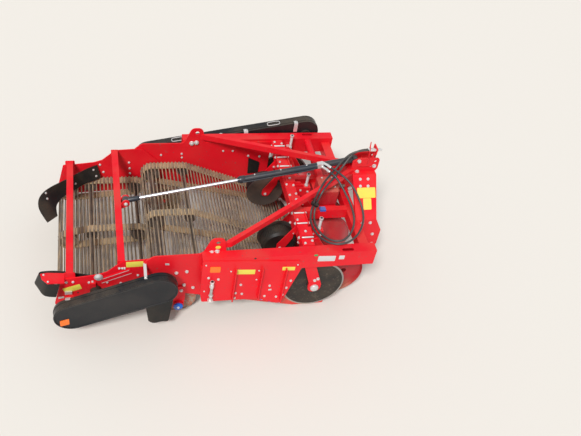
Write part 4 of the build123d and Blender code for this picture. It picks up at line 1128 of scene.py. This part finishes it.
@dataclass
class RubberSheets:
    """The two crop flaps and the apron, each a rubber sheet that hangs with a slight wave."""

    thick: float = 0.008
    wave: float = 0.004
    columns: int = 72
    rows: int = 9

    def flap(
        self, name: str, upper: Sequence[Point], lower: Sequence[Point], bolts: Sequence[Pair]
    ) -> None:
        """Makes one flap between its upper and its lower edge.

        A point at share s along and share v down stands at (1-v) upper(s) + v lower(s), moved along
        the sheet's normal by wave v sin(2 pi 3 s). The normal is the way along crossed with the way
        down, and half the thickness on either side of it gives the two faces.

        Args:
            name: The node that the flap takes the place of.
            upper: Given points of its upper edge.
            lower: Given points of its lower edge.
            bolts: Shares along and down of each bolt on the face that the normal points from.
        """
        count, rows = self.columns, self.rows
        top, foot = (evenly(smooth(edge, 16), count, closed=False) for edge in (upper, lower))
        v = np.linspace(0, 1, rows)[:, None]
        share = np.linspace(0, 1, count)[:, None, None]
        middle = (1 - v) * top[:, None] + v * foot[:, None]
        normal = np.cross(np.gradient(middle, axis=0), np.gradient(middle, axis=1))
        normal /= np.linalg.norm(normal, axis=2, keepdims=True)
        middle = middle + normal * self.wave * v * np.sin(6 * np.pi * share)
        faces = [middle + normal * self.thick / 2, (middle - normal * self.thick / 2)[:, ::-1]]
        form = grid(np.concatenate(faces, 1), loop_v=True, cap=True)
        made = piece(f"{name}_sheet", form, Look.rubber, "rear_frame")
        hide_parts(name)
        along, down = (np.asarray(bolts) * (count - 1, rows - 1)).round().astype(int).T
        way = normal[along, down]
        across = np.cross(way, UP)
        across /= np.linalg.norm(across, axis=1, keepdims=True)
        turns = np.stack([across, np.cross(way, across), way], -1)
        places = middle[along, down] + way * self.thick / 2
        head = [(0.011, -0.001), (0.011, 0.002), (0.0075, 0.003), (0.007, 0.007), (0.003, 0.0085)]
        piece(f"{name}_bolts", copies(lathe(head, 16), places, turns), Look.zinc, "rear_frame")

    def apron(self) -> None:
        """Makes the apron under the right cover, its lower corners rounded.

        A point at share u of the width, from -1/2 to 1/2, and share v down has x = middle + u (width -
        narrowing v). Its lower edge rises by rounding (2 u)^6, and it waves out by wave sin(9 u) v^2.
        """
        middle, face, top, foot = -0.6, -0.923, 0.47, 0.13
        width, narrowing, rounding, wave = 0.25, 0.07, 0.025, 0.006
        u = np.linspace(-0.5, 0.5, 17)
        down = np.linspace(0, 1, 15)
        low = foot + rounding * (np.abs(u) * 2) ** 6
        v = np.concatenate([down, down[::-1]])
        side = np.repeat((-0.5, 0.5), len(down)) * self.thick
        x = middle + u[:, None] * (width - narrowing * v)
        z = top + (low - top)[:, None] * v
        y = face + side + wave * np.sin(u[:, None] * 9) * v**2
        form = grid(np.stack([x, y, z], -1), loop_v=True, cap=True)
        made = piece("apron_sheet", form, Look.rubber, "rear_frame")
        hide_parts("cover_apron")

    def build(self) -> None:
        """Makes both flaps and the apron."""
        self.flap(
            "left_flap",
            [*level(0.585, (-1.08, 0.722), (-1.16, 0.69), (-1.367, 0.523)), (-1.542, 0.413, 0.575),
             (-1.612, 0.326, 0.56), (-1.628, 0.25, 0.538), (-1.61, 0.16, 0.51), (-1.5405, 0.049, 0.48)],
            [(-1.05, 0.685, 0.455), *level(0.45, (-1.1, 0.65), (-1.213, 0.595), (-1.322, 0.501),
                                           (-1.419, 0.411), (-1.468, 0.32), (-1.47, 0.25), (-1.457, 0.162))],
            [(0.06, 0.25), (0.06, 0.75), (0.34, 0.6), (0.64, 0.12), (0.7, 0.4)],
        )
        self.flap(
            "right_flap",
            level(0.585, (-1.085, -0.724), (-1.14, -0.722), (-1.407, -0.642), (-1.553, -0.636),
                  (-1.592, -0.65), (-1.563, -0.71), (-1.521, -0.773), (-1.469, -0.79), (-1.414, -0.792)),
            level(0.456, (-1.085, -0.724), (-1.14, -0.722), (-1.42, -0.645), (-1.6, -0.612),
                  (-1.64, -0.64), (-1.605, -0.71), (-1.559, -0.789), (-1.51, -0.81), (-1.453, -0.819)),
            [(0.12, 0.3), (0.3, 0.3), (0.5, 0.3)],
        )
        self.apron()


# ---------------------------------------------------------------- lift cylinder, webs and rollers


@dataclass
class CylinderTrim:
    """Gland, bands and pipe of the lift cylinder, placed by their distance back from its pivot."""

    eye: Point = (-0.835, 0.0, 0.776)
    pivot: Point = (1.3, 0.0, 1.212)
    barrel: float = 1.12
    radius: float = 0.031
    pipe: float = 0.006
    bands: tuple[float, float, float] = (0.47, 0.72, 0.97)

    def at(self, back: float, aside: float = 0.0, above: float = 0.0) -> np.ndarray:
        """Place at a distance back from the pivot, set off sideways and at right angles above."""
        way = self.way()
        return np.asarray(self.pivot) - way * back + np.array([-way[2] * above, aside, way[0] * above])

    def way(self) -> np.ndarray:
        """Direction from the rod's eye to the pivot."""
        line = np.asarray(self.pivot) - np.asarray(self.eye)
        return line / np.linalg.norm(line)

    def build(self) -> None:
        """Makes the gland, end cap, bands and pipe on the barrel and the dark knuckle on the rod."""
        way = self.way()
        r = self.radius
        gland = lathe([(0.017, -0.016), (0.026, -0.016), (0.028, -0.012), (0.028, 0.0), (r + 0.004, 0.002),
                       (r + 0.005, 0.006), (r + 0.005, 0.05), (r + 0.003, 0.054), (r - 0.002, 0.056)], 32)
        cap = lathe([(r - 0.003, 0.0), (r + 0.002, 0.003), (r + 0.002, 0.016), (r - 0.004, 0.024)], 32)
        band = lathe([(r - 0.001, -0.011), (r + 0.002, -0.01), (r + 0.002, 0.01), (r - 0.001, 0.011)], 32)
        forms = [gland.placed(way, self.at(self.barrel)), cap.placed(way, self.at(0.055))]
        forms += [band.placed(way, self.at(back)) for back in self.bands]
        pipe = [(0.372, -0.03, 0.012), (0.4, -0.04, 0.008), (0.43, -0.044, 0.0), (0.7, -0.044, 0.0),
                (1.0, -0.044, 0.0), (1.06, -0.044, 0.0), (1.095, -0.04, 0.0), (1.098, -0.02, 0.0)]
        forms.append(tube(smooth([self.at(*spot) for spot in pipe], 8), self.pipe))
        piece("barrel_fittings", joined(forms), Look.black_paint, "cylinder_barrel")
        spots = [self.at(back, 0.0, r + 0.002) for back in self.bands]
        studs = copies(bolt(0.007), spots, facing((-way[2], 0, way[0])))
        piece("barrel_studs", studs, Look.zinc, "cylinder_barrel")
        neck = lathe([(0.0152, 0.13), (0.021, 0.125), (0.024, 0.11), (0.026, 0.03), (0.026, 0.0)], 28)
        knuckle = lathe([(0.028, -0.0255), (0.0315, -0.022), (0.0315, 0.022), (0.028, 0.0255)], 32)
        dark = joined([neck.placed(way, self.eye), knuckle.placed(OUT, self.eye)])
        piece("rod_knuckle", dark, Look.black_paint, "cylinder_rod")


@dataclass
class WebClips:
    """Flattened rod ends with their rivets, where a sieving web's rods lie on its three belts."""

    node: str
    body: str
    reach: float
    belt: float = 0.075

    def middles(self) -> np.ndarray:
        """Middle (x, z) of every rod, the mean of the six corners at its left end."""
        mesh = frame["nodes"][self.node].data
        points = np.empty(len(mesh.vertices) * 3)
        mesh.vertices.foreach_get("co", points)
        points = points.reshape(-1, 3)
        ends = np.unique(points[points[:, 1] > points[:, 1].max() - 1e-4][:, [0, 2]].round(4), axis=0)
        nearest = np.argsort(np.linalg.norm(ends[:, None] - ends, axis=2), axis=1)[:, :6]
        return np.unique(ends[nearest].mean(1).round(3), axis=0)

    def build(self) -> None:
        """Makes one clip with two rivets for each rod and belt.

        The run between a rod's two neighbours gives the clip's tangent, and the normal square to it
        points away from the middle of the web.
        """
        spots = self.middles()
        order = np.argsort(np.linalg.norm(spots[:, None] - spots, axis=2), axis=1)
        run = spots[order[:, 1]] - spots[order[:, 2]]
        run /= np.linalg.norm(run, axis=1, keepdims=True)
        normal = np.column_stack([-run[:, 1], run[:, 0]])
        outward = np.sign(np.sum(normal * (spots - spots.mean(0)), axis=1))
        normal *= outward[:, None]
        zero = np.zeros(len(spots))
        across = np.broadcast_to((0.0, 1.0, 0.0), (len(spots), 3))
        up = np.column_stack([normal[:, 0], zero, normal[:, 1]])
        turns = np.stack([np.cross(across, up), across, up], -1)
        pad = brick((-0.011, -0.036, -0.0055), (0.011, 0.036, 0.0035))
        rivet = lathe([(0.0065, 0.0), (0.006, 0.006), (0.0035, 0.0085)], 8)
        clip = joined([pad, rivet.moved((0, -0.022, 0)), rivet.moved((0, 0.022, 0))])
        edge = self.reach - self.belt / 2 - 0.0055
        rows = [np.column_stack([spots[:, 0], zero + y, spots[:, 1]]) for y in (-edge, 0.0, edge)]
        clips = joined([copies(clip, row, turns) for row in rows])
        piece(f"{self.node}_clips", clips, Look.rod_steel, self.body, angle=30)


@dataclass
class HaulmTread:
    """Ribbed rubber band round a haulm roller."""

    side: Side
    radius: float = 0.165
    half: float = 0.053
    ribs: int = 56
    height: float = 0.004
    place: Point = (0.56, 0.38, 0.54)

    def build(self) -> None:
        """Makes the band, whose radius is r + h (0.5 + 0.5 cos(n a))^2 at angle a, less at its edges."""
        angle = np.linspace(0, 2 * np.pi, self.ribs * 6, endpoint=False)
        across = np.array([-1.0, -0.92, 0.0, 0.92, 1.0])
        lift = np.array([0.0, 0.75, 1.0, 0.75, 0.0])
        rib = (0.5 + 0.5 * np.cos(self.ribs * angle)) ** 2
        outer = self.radius + 0.0008 + self.height * rib[:, None] * lift
        inner = np.full_like(outer, self.radius - 0.004)
        r = np.concatenate([outer, inner[:, ::-1]], 1)
        y = np.broadcast_to(np.concatenate([across, across[::-1]]) * self.half, r.shape)
        points = np.stack([r * np.cos(angle)[:, None], y, r * np.sin(angle)[:, None]], -1)
        form = grid(points + np.array(self.place) * (1, self.side.value, 1), loop_u=True, loop_v=True)
        name = self.side.name.lower()
        piece(f"{name}_haulm_tread", form, Look.rubber, f"{name}_haulm_roller", angle=50)


@dataclass
class Hubs:
    """Hubs and edges of the coulters, caps of the support wheels, crop guards and blue bushes."""

    side: Side
    coulter_at: Pair = (0.855, 0.335)
    coulter_ys: tuple[float, float, float] = (0.775, 0.793, 0.817)
    coulter_bolts: int = 5
    wheel_at: Point = (-0.412, 0.8, 0.172)
    guard: tuple[Pair, ...] = ((0.46, 0.62), (0.582, 0.56), (0.578, 0.424), (0.47, 0.413))
    guard_ys: Pair = (0.728, 0.7448)
    bushes: tuple[Point, ...] = ((0.369, 0.757, 0.212), (0.452, 0.757, 0.178), (0.544, 0.757, 0.15))

    def out(self, form: Form, x: float, y: float, z: float) -> Form:
        """The form, its +Z turned away from the machine and its origin moved to a place on this side."""
        return form.placed((0, self.side.value, 0), (x, self.side.value * y, z))

    def coulter(self, name: str) -> None:
        """Makes the coulter's bolt ring and cap, and the bright edge, a closed band round its disc."""
        (x, z), (disc_y, ring_y, cap_y) = self.coulter_at, self.coulter_ys
        angle = np.arange(self.coulter_bolts) * 2 * np.pi / self.coulter_bolts
        spots = np.column_stack([np.cos(angle), np.sin(angle)]) * 0.045 + (x, z)
        ring = joined([self.out(bolt(0.01), bolt_x, ring_y, bolt_z) for bolt_x, bolt_z in spots])
        piece(f"{name}_coulter_bolts", ring, Look.worn_steel, f"{name}_coulter")
        cap = lathe([(0.04, 0.0), (0.041, 0.012), (0.034, 0.022), (0.016, 0.027)], 32)
        piece(f"{name}_coulter_cap", self.out(cap, x, cap_y, z), Look.pale_plate, "main_frame", "zinc")
        angle = np.linspace(0, 2 * np.pi, 96, endpoint=False)[:, None]
        r, y = np.array([(0.2835, 0.0028), (0.2862, 0.0034), (0.3004, 0.0014), (0.3004, -0.0014),
                         (0.2862, -0.0034), (0.2835, -0.0028)]).T
        points = np.stack(np.broadcast_arrays(r * np.cos(angle), y, r * np.sin(angle)), -1)
        edge = grid(points + (x, self.side.value * disc_y, z), loop_u=True, loop_v=True)
        piece(f"{name}_coulter_edge", edge, Look.bright_edge, f"{name}_coulter", "worn_steel")

    def build(self) -> None:
        """Makes everything on this side."""
        name = self.side.name.lower()
        self.coulter(name)
        blue = lathe([(0.0432, -0.008), (0.0432, 0.004), (0.036, 0.009), (0.02, 0.011)], 32)
        head = bolt(0.012).moved((0, 0, 0.01))
        piece(f"{name}_wheel_cap", self.out(blue, *self.wheel_at), Look.blue_cap, "main_frame", "red_paint")
        piece(f"{name}_wheel_cap_bolt", self.out(head, *self.wheel_at), Look.zinc, "main_frame")
        rings = np.stack([np.insert(self.guard, 1, self.side.value * y, axis=1) for y in self.guard_ys])
        piece(f"{name}_crop_guard", grid(rings, loop_v=True, cap=True), Look.rubber, "main_frame")
        bush = lathe([(0.022, 0), (0.024, 0.004), (0.024, 0.05), (0.022, 0.054)], 24)
        heads = joined([self.out(head.moved((0, 0, 0.044)), *spot) for spot in self.bushes])
        piece(f"{name}_bush_bolts", heads, Look.zinc, "main_frame")
        bushes = joined([self.out(bush, *spot) for spot in self.bushes])
        piece(f"{name}_blue_bushes", bushes, Look.blue_cap, "main_frame", "red_paint")


# ---------------------------------------------------------------- headstock and gearbox


@dataclass
class HeadstockTrim:
    """Hose guide, hose clip, blue block, gearbox fittings and weld seams."""

    bead: float = 0.004
    shaft: float = 0.868

    def seam(self, corners: Sequence[Point]) -> Form:
        """Weld bead along straight runs between corners, its radius rippled along it."""
        runs = []
        for start, end in zip(np.asarray(corners[:-1], float), np.asarray(corners[1:], float)):
            count = max(4, int(np.linalg.norm(end - start) / 0.006))
            share = np.linspace(0, 1, count)[:, None]
            radius = self.bead * (1 + 0.15 * np.cos(np.arange(count) * 2.1))
            runs.append(tube(start + (end - start) * share, radius, 6))
        return joined(runs)

    def build(self) -> None:
        """Makes the trim."""
        guide = [(1.39, -0.094, 1.25), (1.385, -0.098, 1.33), (1.38, -0.1, 1.4), (1.372, -0.095, 1.448),
                 (1.385, -0.064, 1.45), (1.4, -0.03, 1.448), (1.405, -0.024, 1.4), (1.41, -0.02, 1.33),
                 (1.415, -0.046, 1.255)]
        piece("hose_guide", tube(smooth(guide, 6), 0.0045, 8), Look.red_paint, "main_frame")
        ring = lathe([(0.02, -0.013), (0.024, -0.011), (0.024, 0.011), (0.02, 0.013)], 20)
        clip = joined([ring.moved((0.8585, -0.3175, 0.955)), ring.moved((0.8815, -0.3365, 0.952)),
                       brick((0.858, -0.318, 0.942), (0.886, -0.286, 0.968))])
        piece("hose_clip", clip, Look.black_plastic, "main_frame")
        knob = lathe([(0.006, 0.0), (0.006, 0.012), (0.015, 0.014), (0.017, 0.02), (0.015, 0.028),
                      (0.008, 0.031)], 24)
        piece("clip_knob", knob.moved((0.868, -0.306, 0.966)), Look.black_plastic, "main_frame")
        blue = brick((0.957, -0.293, 0.8145), (1.013, -0.243, 0.834))
        piece("blue_block", blue, Look.blue_cap, "main_frame", "red_paint")
        self.gearbox()
        self.seams()

    def gearbox(self) -> None:
        """Makes the gearbox's flanges, ribs, lid and plugs."""
        low, high = (np.array(corner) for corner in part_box("gearbox"))
        middle = (low + high) / 2
        lid_top = high[2] + 0.008
        ring = lathe([(0.036, 0.0), (0.062, 0.0), (0.064, 0.004), (0.064, 0.012), (0.058, 0.018),
                      (0.036, 0.02)], 40)
        forms = [
            ring.placed(FORWARD, (high[0] - 0.002, 0, self.shaft)),
            ring.placed(INWARD, (1.075, high[1] - 0.002, 0.816)),
            brick((low[0] + 0.03, low[1] + 0.03, high[2] - 0.001), (high[0] - 0.03, high[1] - 0.03, lid_top)),
        ]
        for axis in (0, 1):
            across = 1 - axis
            for spot in np.linspace(low[across] + 0.04, high[across] - 0.04, 4):
                start, end = low + (0, 0, 0.02), high - (0, 0, 0.02)
                start[axis], end[axis] = low[axis] - 0.004, low[axis] + 0.004
                start[across], end[across] = spot - 0.005, spot + 0.005
                forms.append(brick(start, end))
        piece("gearbox_fittings", joined(forms), Look.cast_iron, "main_frame")
        xs, ys = ((low[i] + 0.045, high[i] - 0.045) for i in (0, 1))
        lid_bolts = copies(bolt(0.009), [(x, y, lid_top) for x in xs for y in ys], facing(UP))
        plug = bolt(0.016).moved((middle[0], middle[1], lid_top))
        around = np.arange(6) * np.pi / 3
        spots = np.column_stack([0 * around, np.cos(around), np.sin(around)]) * 0.052
        flange_bolts = copies(bolt(0.007), spots + (high[0] + 0.012, 0, self.shaft), facing(FORWARD))
        piece("gearbox_bolts", joined([lid_bolts, plug, flange_bolts]), Look.zinc, "main_frame")

    def seams(self) -> None:
        """Makes the weld seams of the headstock, the beams and the rear tubes."""
        front = joined([self.seam(run) for run in (
            [(1.285, 0.4125, 0.8), (1.32, 0.4125, 0.8)],
            [(1.285, 0.3665, 0.8), (1.285, 0.4125, 0.8)],
            [(1.262, 0.054, 1.064), (1.49, 0.054, 1.064)],
            [(0.68, 0.745, 0.76), (0.68, 0.745, 0.825)],
            [(1.23, 0.745, 0.7), (1.23, 0.745, 0.8), (1.32, 0.745, 0.8)],
        )])
        piece("frame_welds", front.twinned(), Look.red_paint, "main_frame", angle=60)
        arch = ((-0.03, -0.06), (-0.03, 0), (0.03, 0), (0.03, -0.06))
        rear = joined([self.seam([(x + dx, y, top + dz) for dx, dz in arch])
                       for x, top, y in ((-0.907, 0.77, 0.728), (-1.335, 0.645, 0.718))])
        piece("rear_welds", rear.twinned(), Look.red_paint, "rear_frame", angle=60)


# ---------------------------------------------------------------- stage


@dataclass
class Studio:
    """Pale floor, soft lamps and the camera at the photograph's place."""

    floor: float = 30.0
    floor_tone: Colour = (0.74, 0.7, 0.64)
    floor_rough: float = 0.95
    sky: float = 0.6
    sky_tone: Colour = (0.95, 0.97, 1.0)
    sun: float = 2.7
    sun_spread: float = 12.0
    sun_from: Point = (-0.35, -0.55, 0.75)
    sight: float = 100.0

    def camera(self) -> None:
        """Stands the camera where the photograph was taken."""
        data = bpy.data.cameras.new("camera")
        data.lens = LENS_MM
        data.sensor_width = SENSOR_MM
        data.clip_end = self.sight
        right, up = Vector(CAMERA_RIGHT).normalized(), Vector(CAMERA_UP).normalized()
        back = right.cross(up).normalized()
        up = back.cross(right)
        made = bpy.data.objects.new("camera", data)
        made.matrix_world = Matrix.Translation(CAMERA_AT) @ Matrix((right, up, back)).transposed().to_4x4()
        bpy.context.scene.collection.objects.link(made)
        bpy.context.scene.camera = made

    def light(self) -> None:
        """Adds the soft sun and the even light of the world."""
        sun = bpy.data.lights.new("sun", "SUN")
        sun.energy = self.sun
        sun.angle = np.radians(self.sun_spread)
        made = bpy.data.objects.new("sun", sun)
        made.matrix_world = Vector(self.sun_from).to_track_quat("Z", "Y").to_matrix().to_4x4()
        bpy.context.scene.collection.objects.link(made)
        world = bpy.data.worlds.new("world")
        bpy.context.scene.world = world
        world.use_nodes = True
        background = world.node_tree.nodes["Background"]
        background.inputs["Color"].default_value = (*self.sky_tone, 1.0)
        background.inputs["Strength"].default_value = self.sky

    def ground(self) -> None:
        """Lays the floor, a flat grid of four corners."""
        half = self.floor / 2
        mesh = bpy.data.meshes.new("floor")
        corners = [(-half, -half, 0), (half, -half, 0), (half, half, 0), (-half, half, 0)]
        mesh.from_pydata(corners, [], [(0, 1, 2, 3)])
        material = bpy.data.materials.new("floor")
        material.use_nodes = True
        shader = material.node_tree.nodes["Principled BSDF"]
        shader.inputs["Base Color"].default_value = (*self.floor_tone, 1.0)
        shader.inputs["Roughness"].default_value = self.floor_rough
        mesh.materials.append(material)
        made = bpy.data.objects.new("floor", mesh)
        bpy.context.scene.collection.objects.link(made)

    def build(self) -> None:
        """Sets up camera, lamps, floor and the view transform."""
        self.camera()
        self.light()
        self.ground()
        bpy.context.scene.view_settings.view_transform = "Standard"


def main() -> None:
    """Builds the scene in order."""
    logging.basicConfig(level=logging.INFO, format="%(name)s: %(message)s")
    Studio().build()
    build_finishes()
    dress_nodes()
    Hoses().build()
    for row in BOLT_ROWS:
        row.build()
    BeamClamps().build()
    # Black discs of painted shade in the small holes.
    HoleShadeDiscs().build()
    ThreadedSpindles().build()
    for label in LABELS:
        label.build()
    LEFT_COVER.build()
    RIGHT_COVER.build()
    CoverFittings().build()
    RubberSheets().build()
    CylinderTrim().build()
    WebClips("front_web_rods", "main_frame", 0.718).build()
    WebClips("rear_web_rods", "rear_frame", 0.708).build()
    for side in Side:
        HaulmTread(side).build()
    for side in Side:
        Hubs(side).build()
    HeadstockTrim().build()


if __name__ == "__main__":
    main()
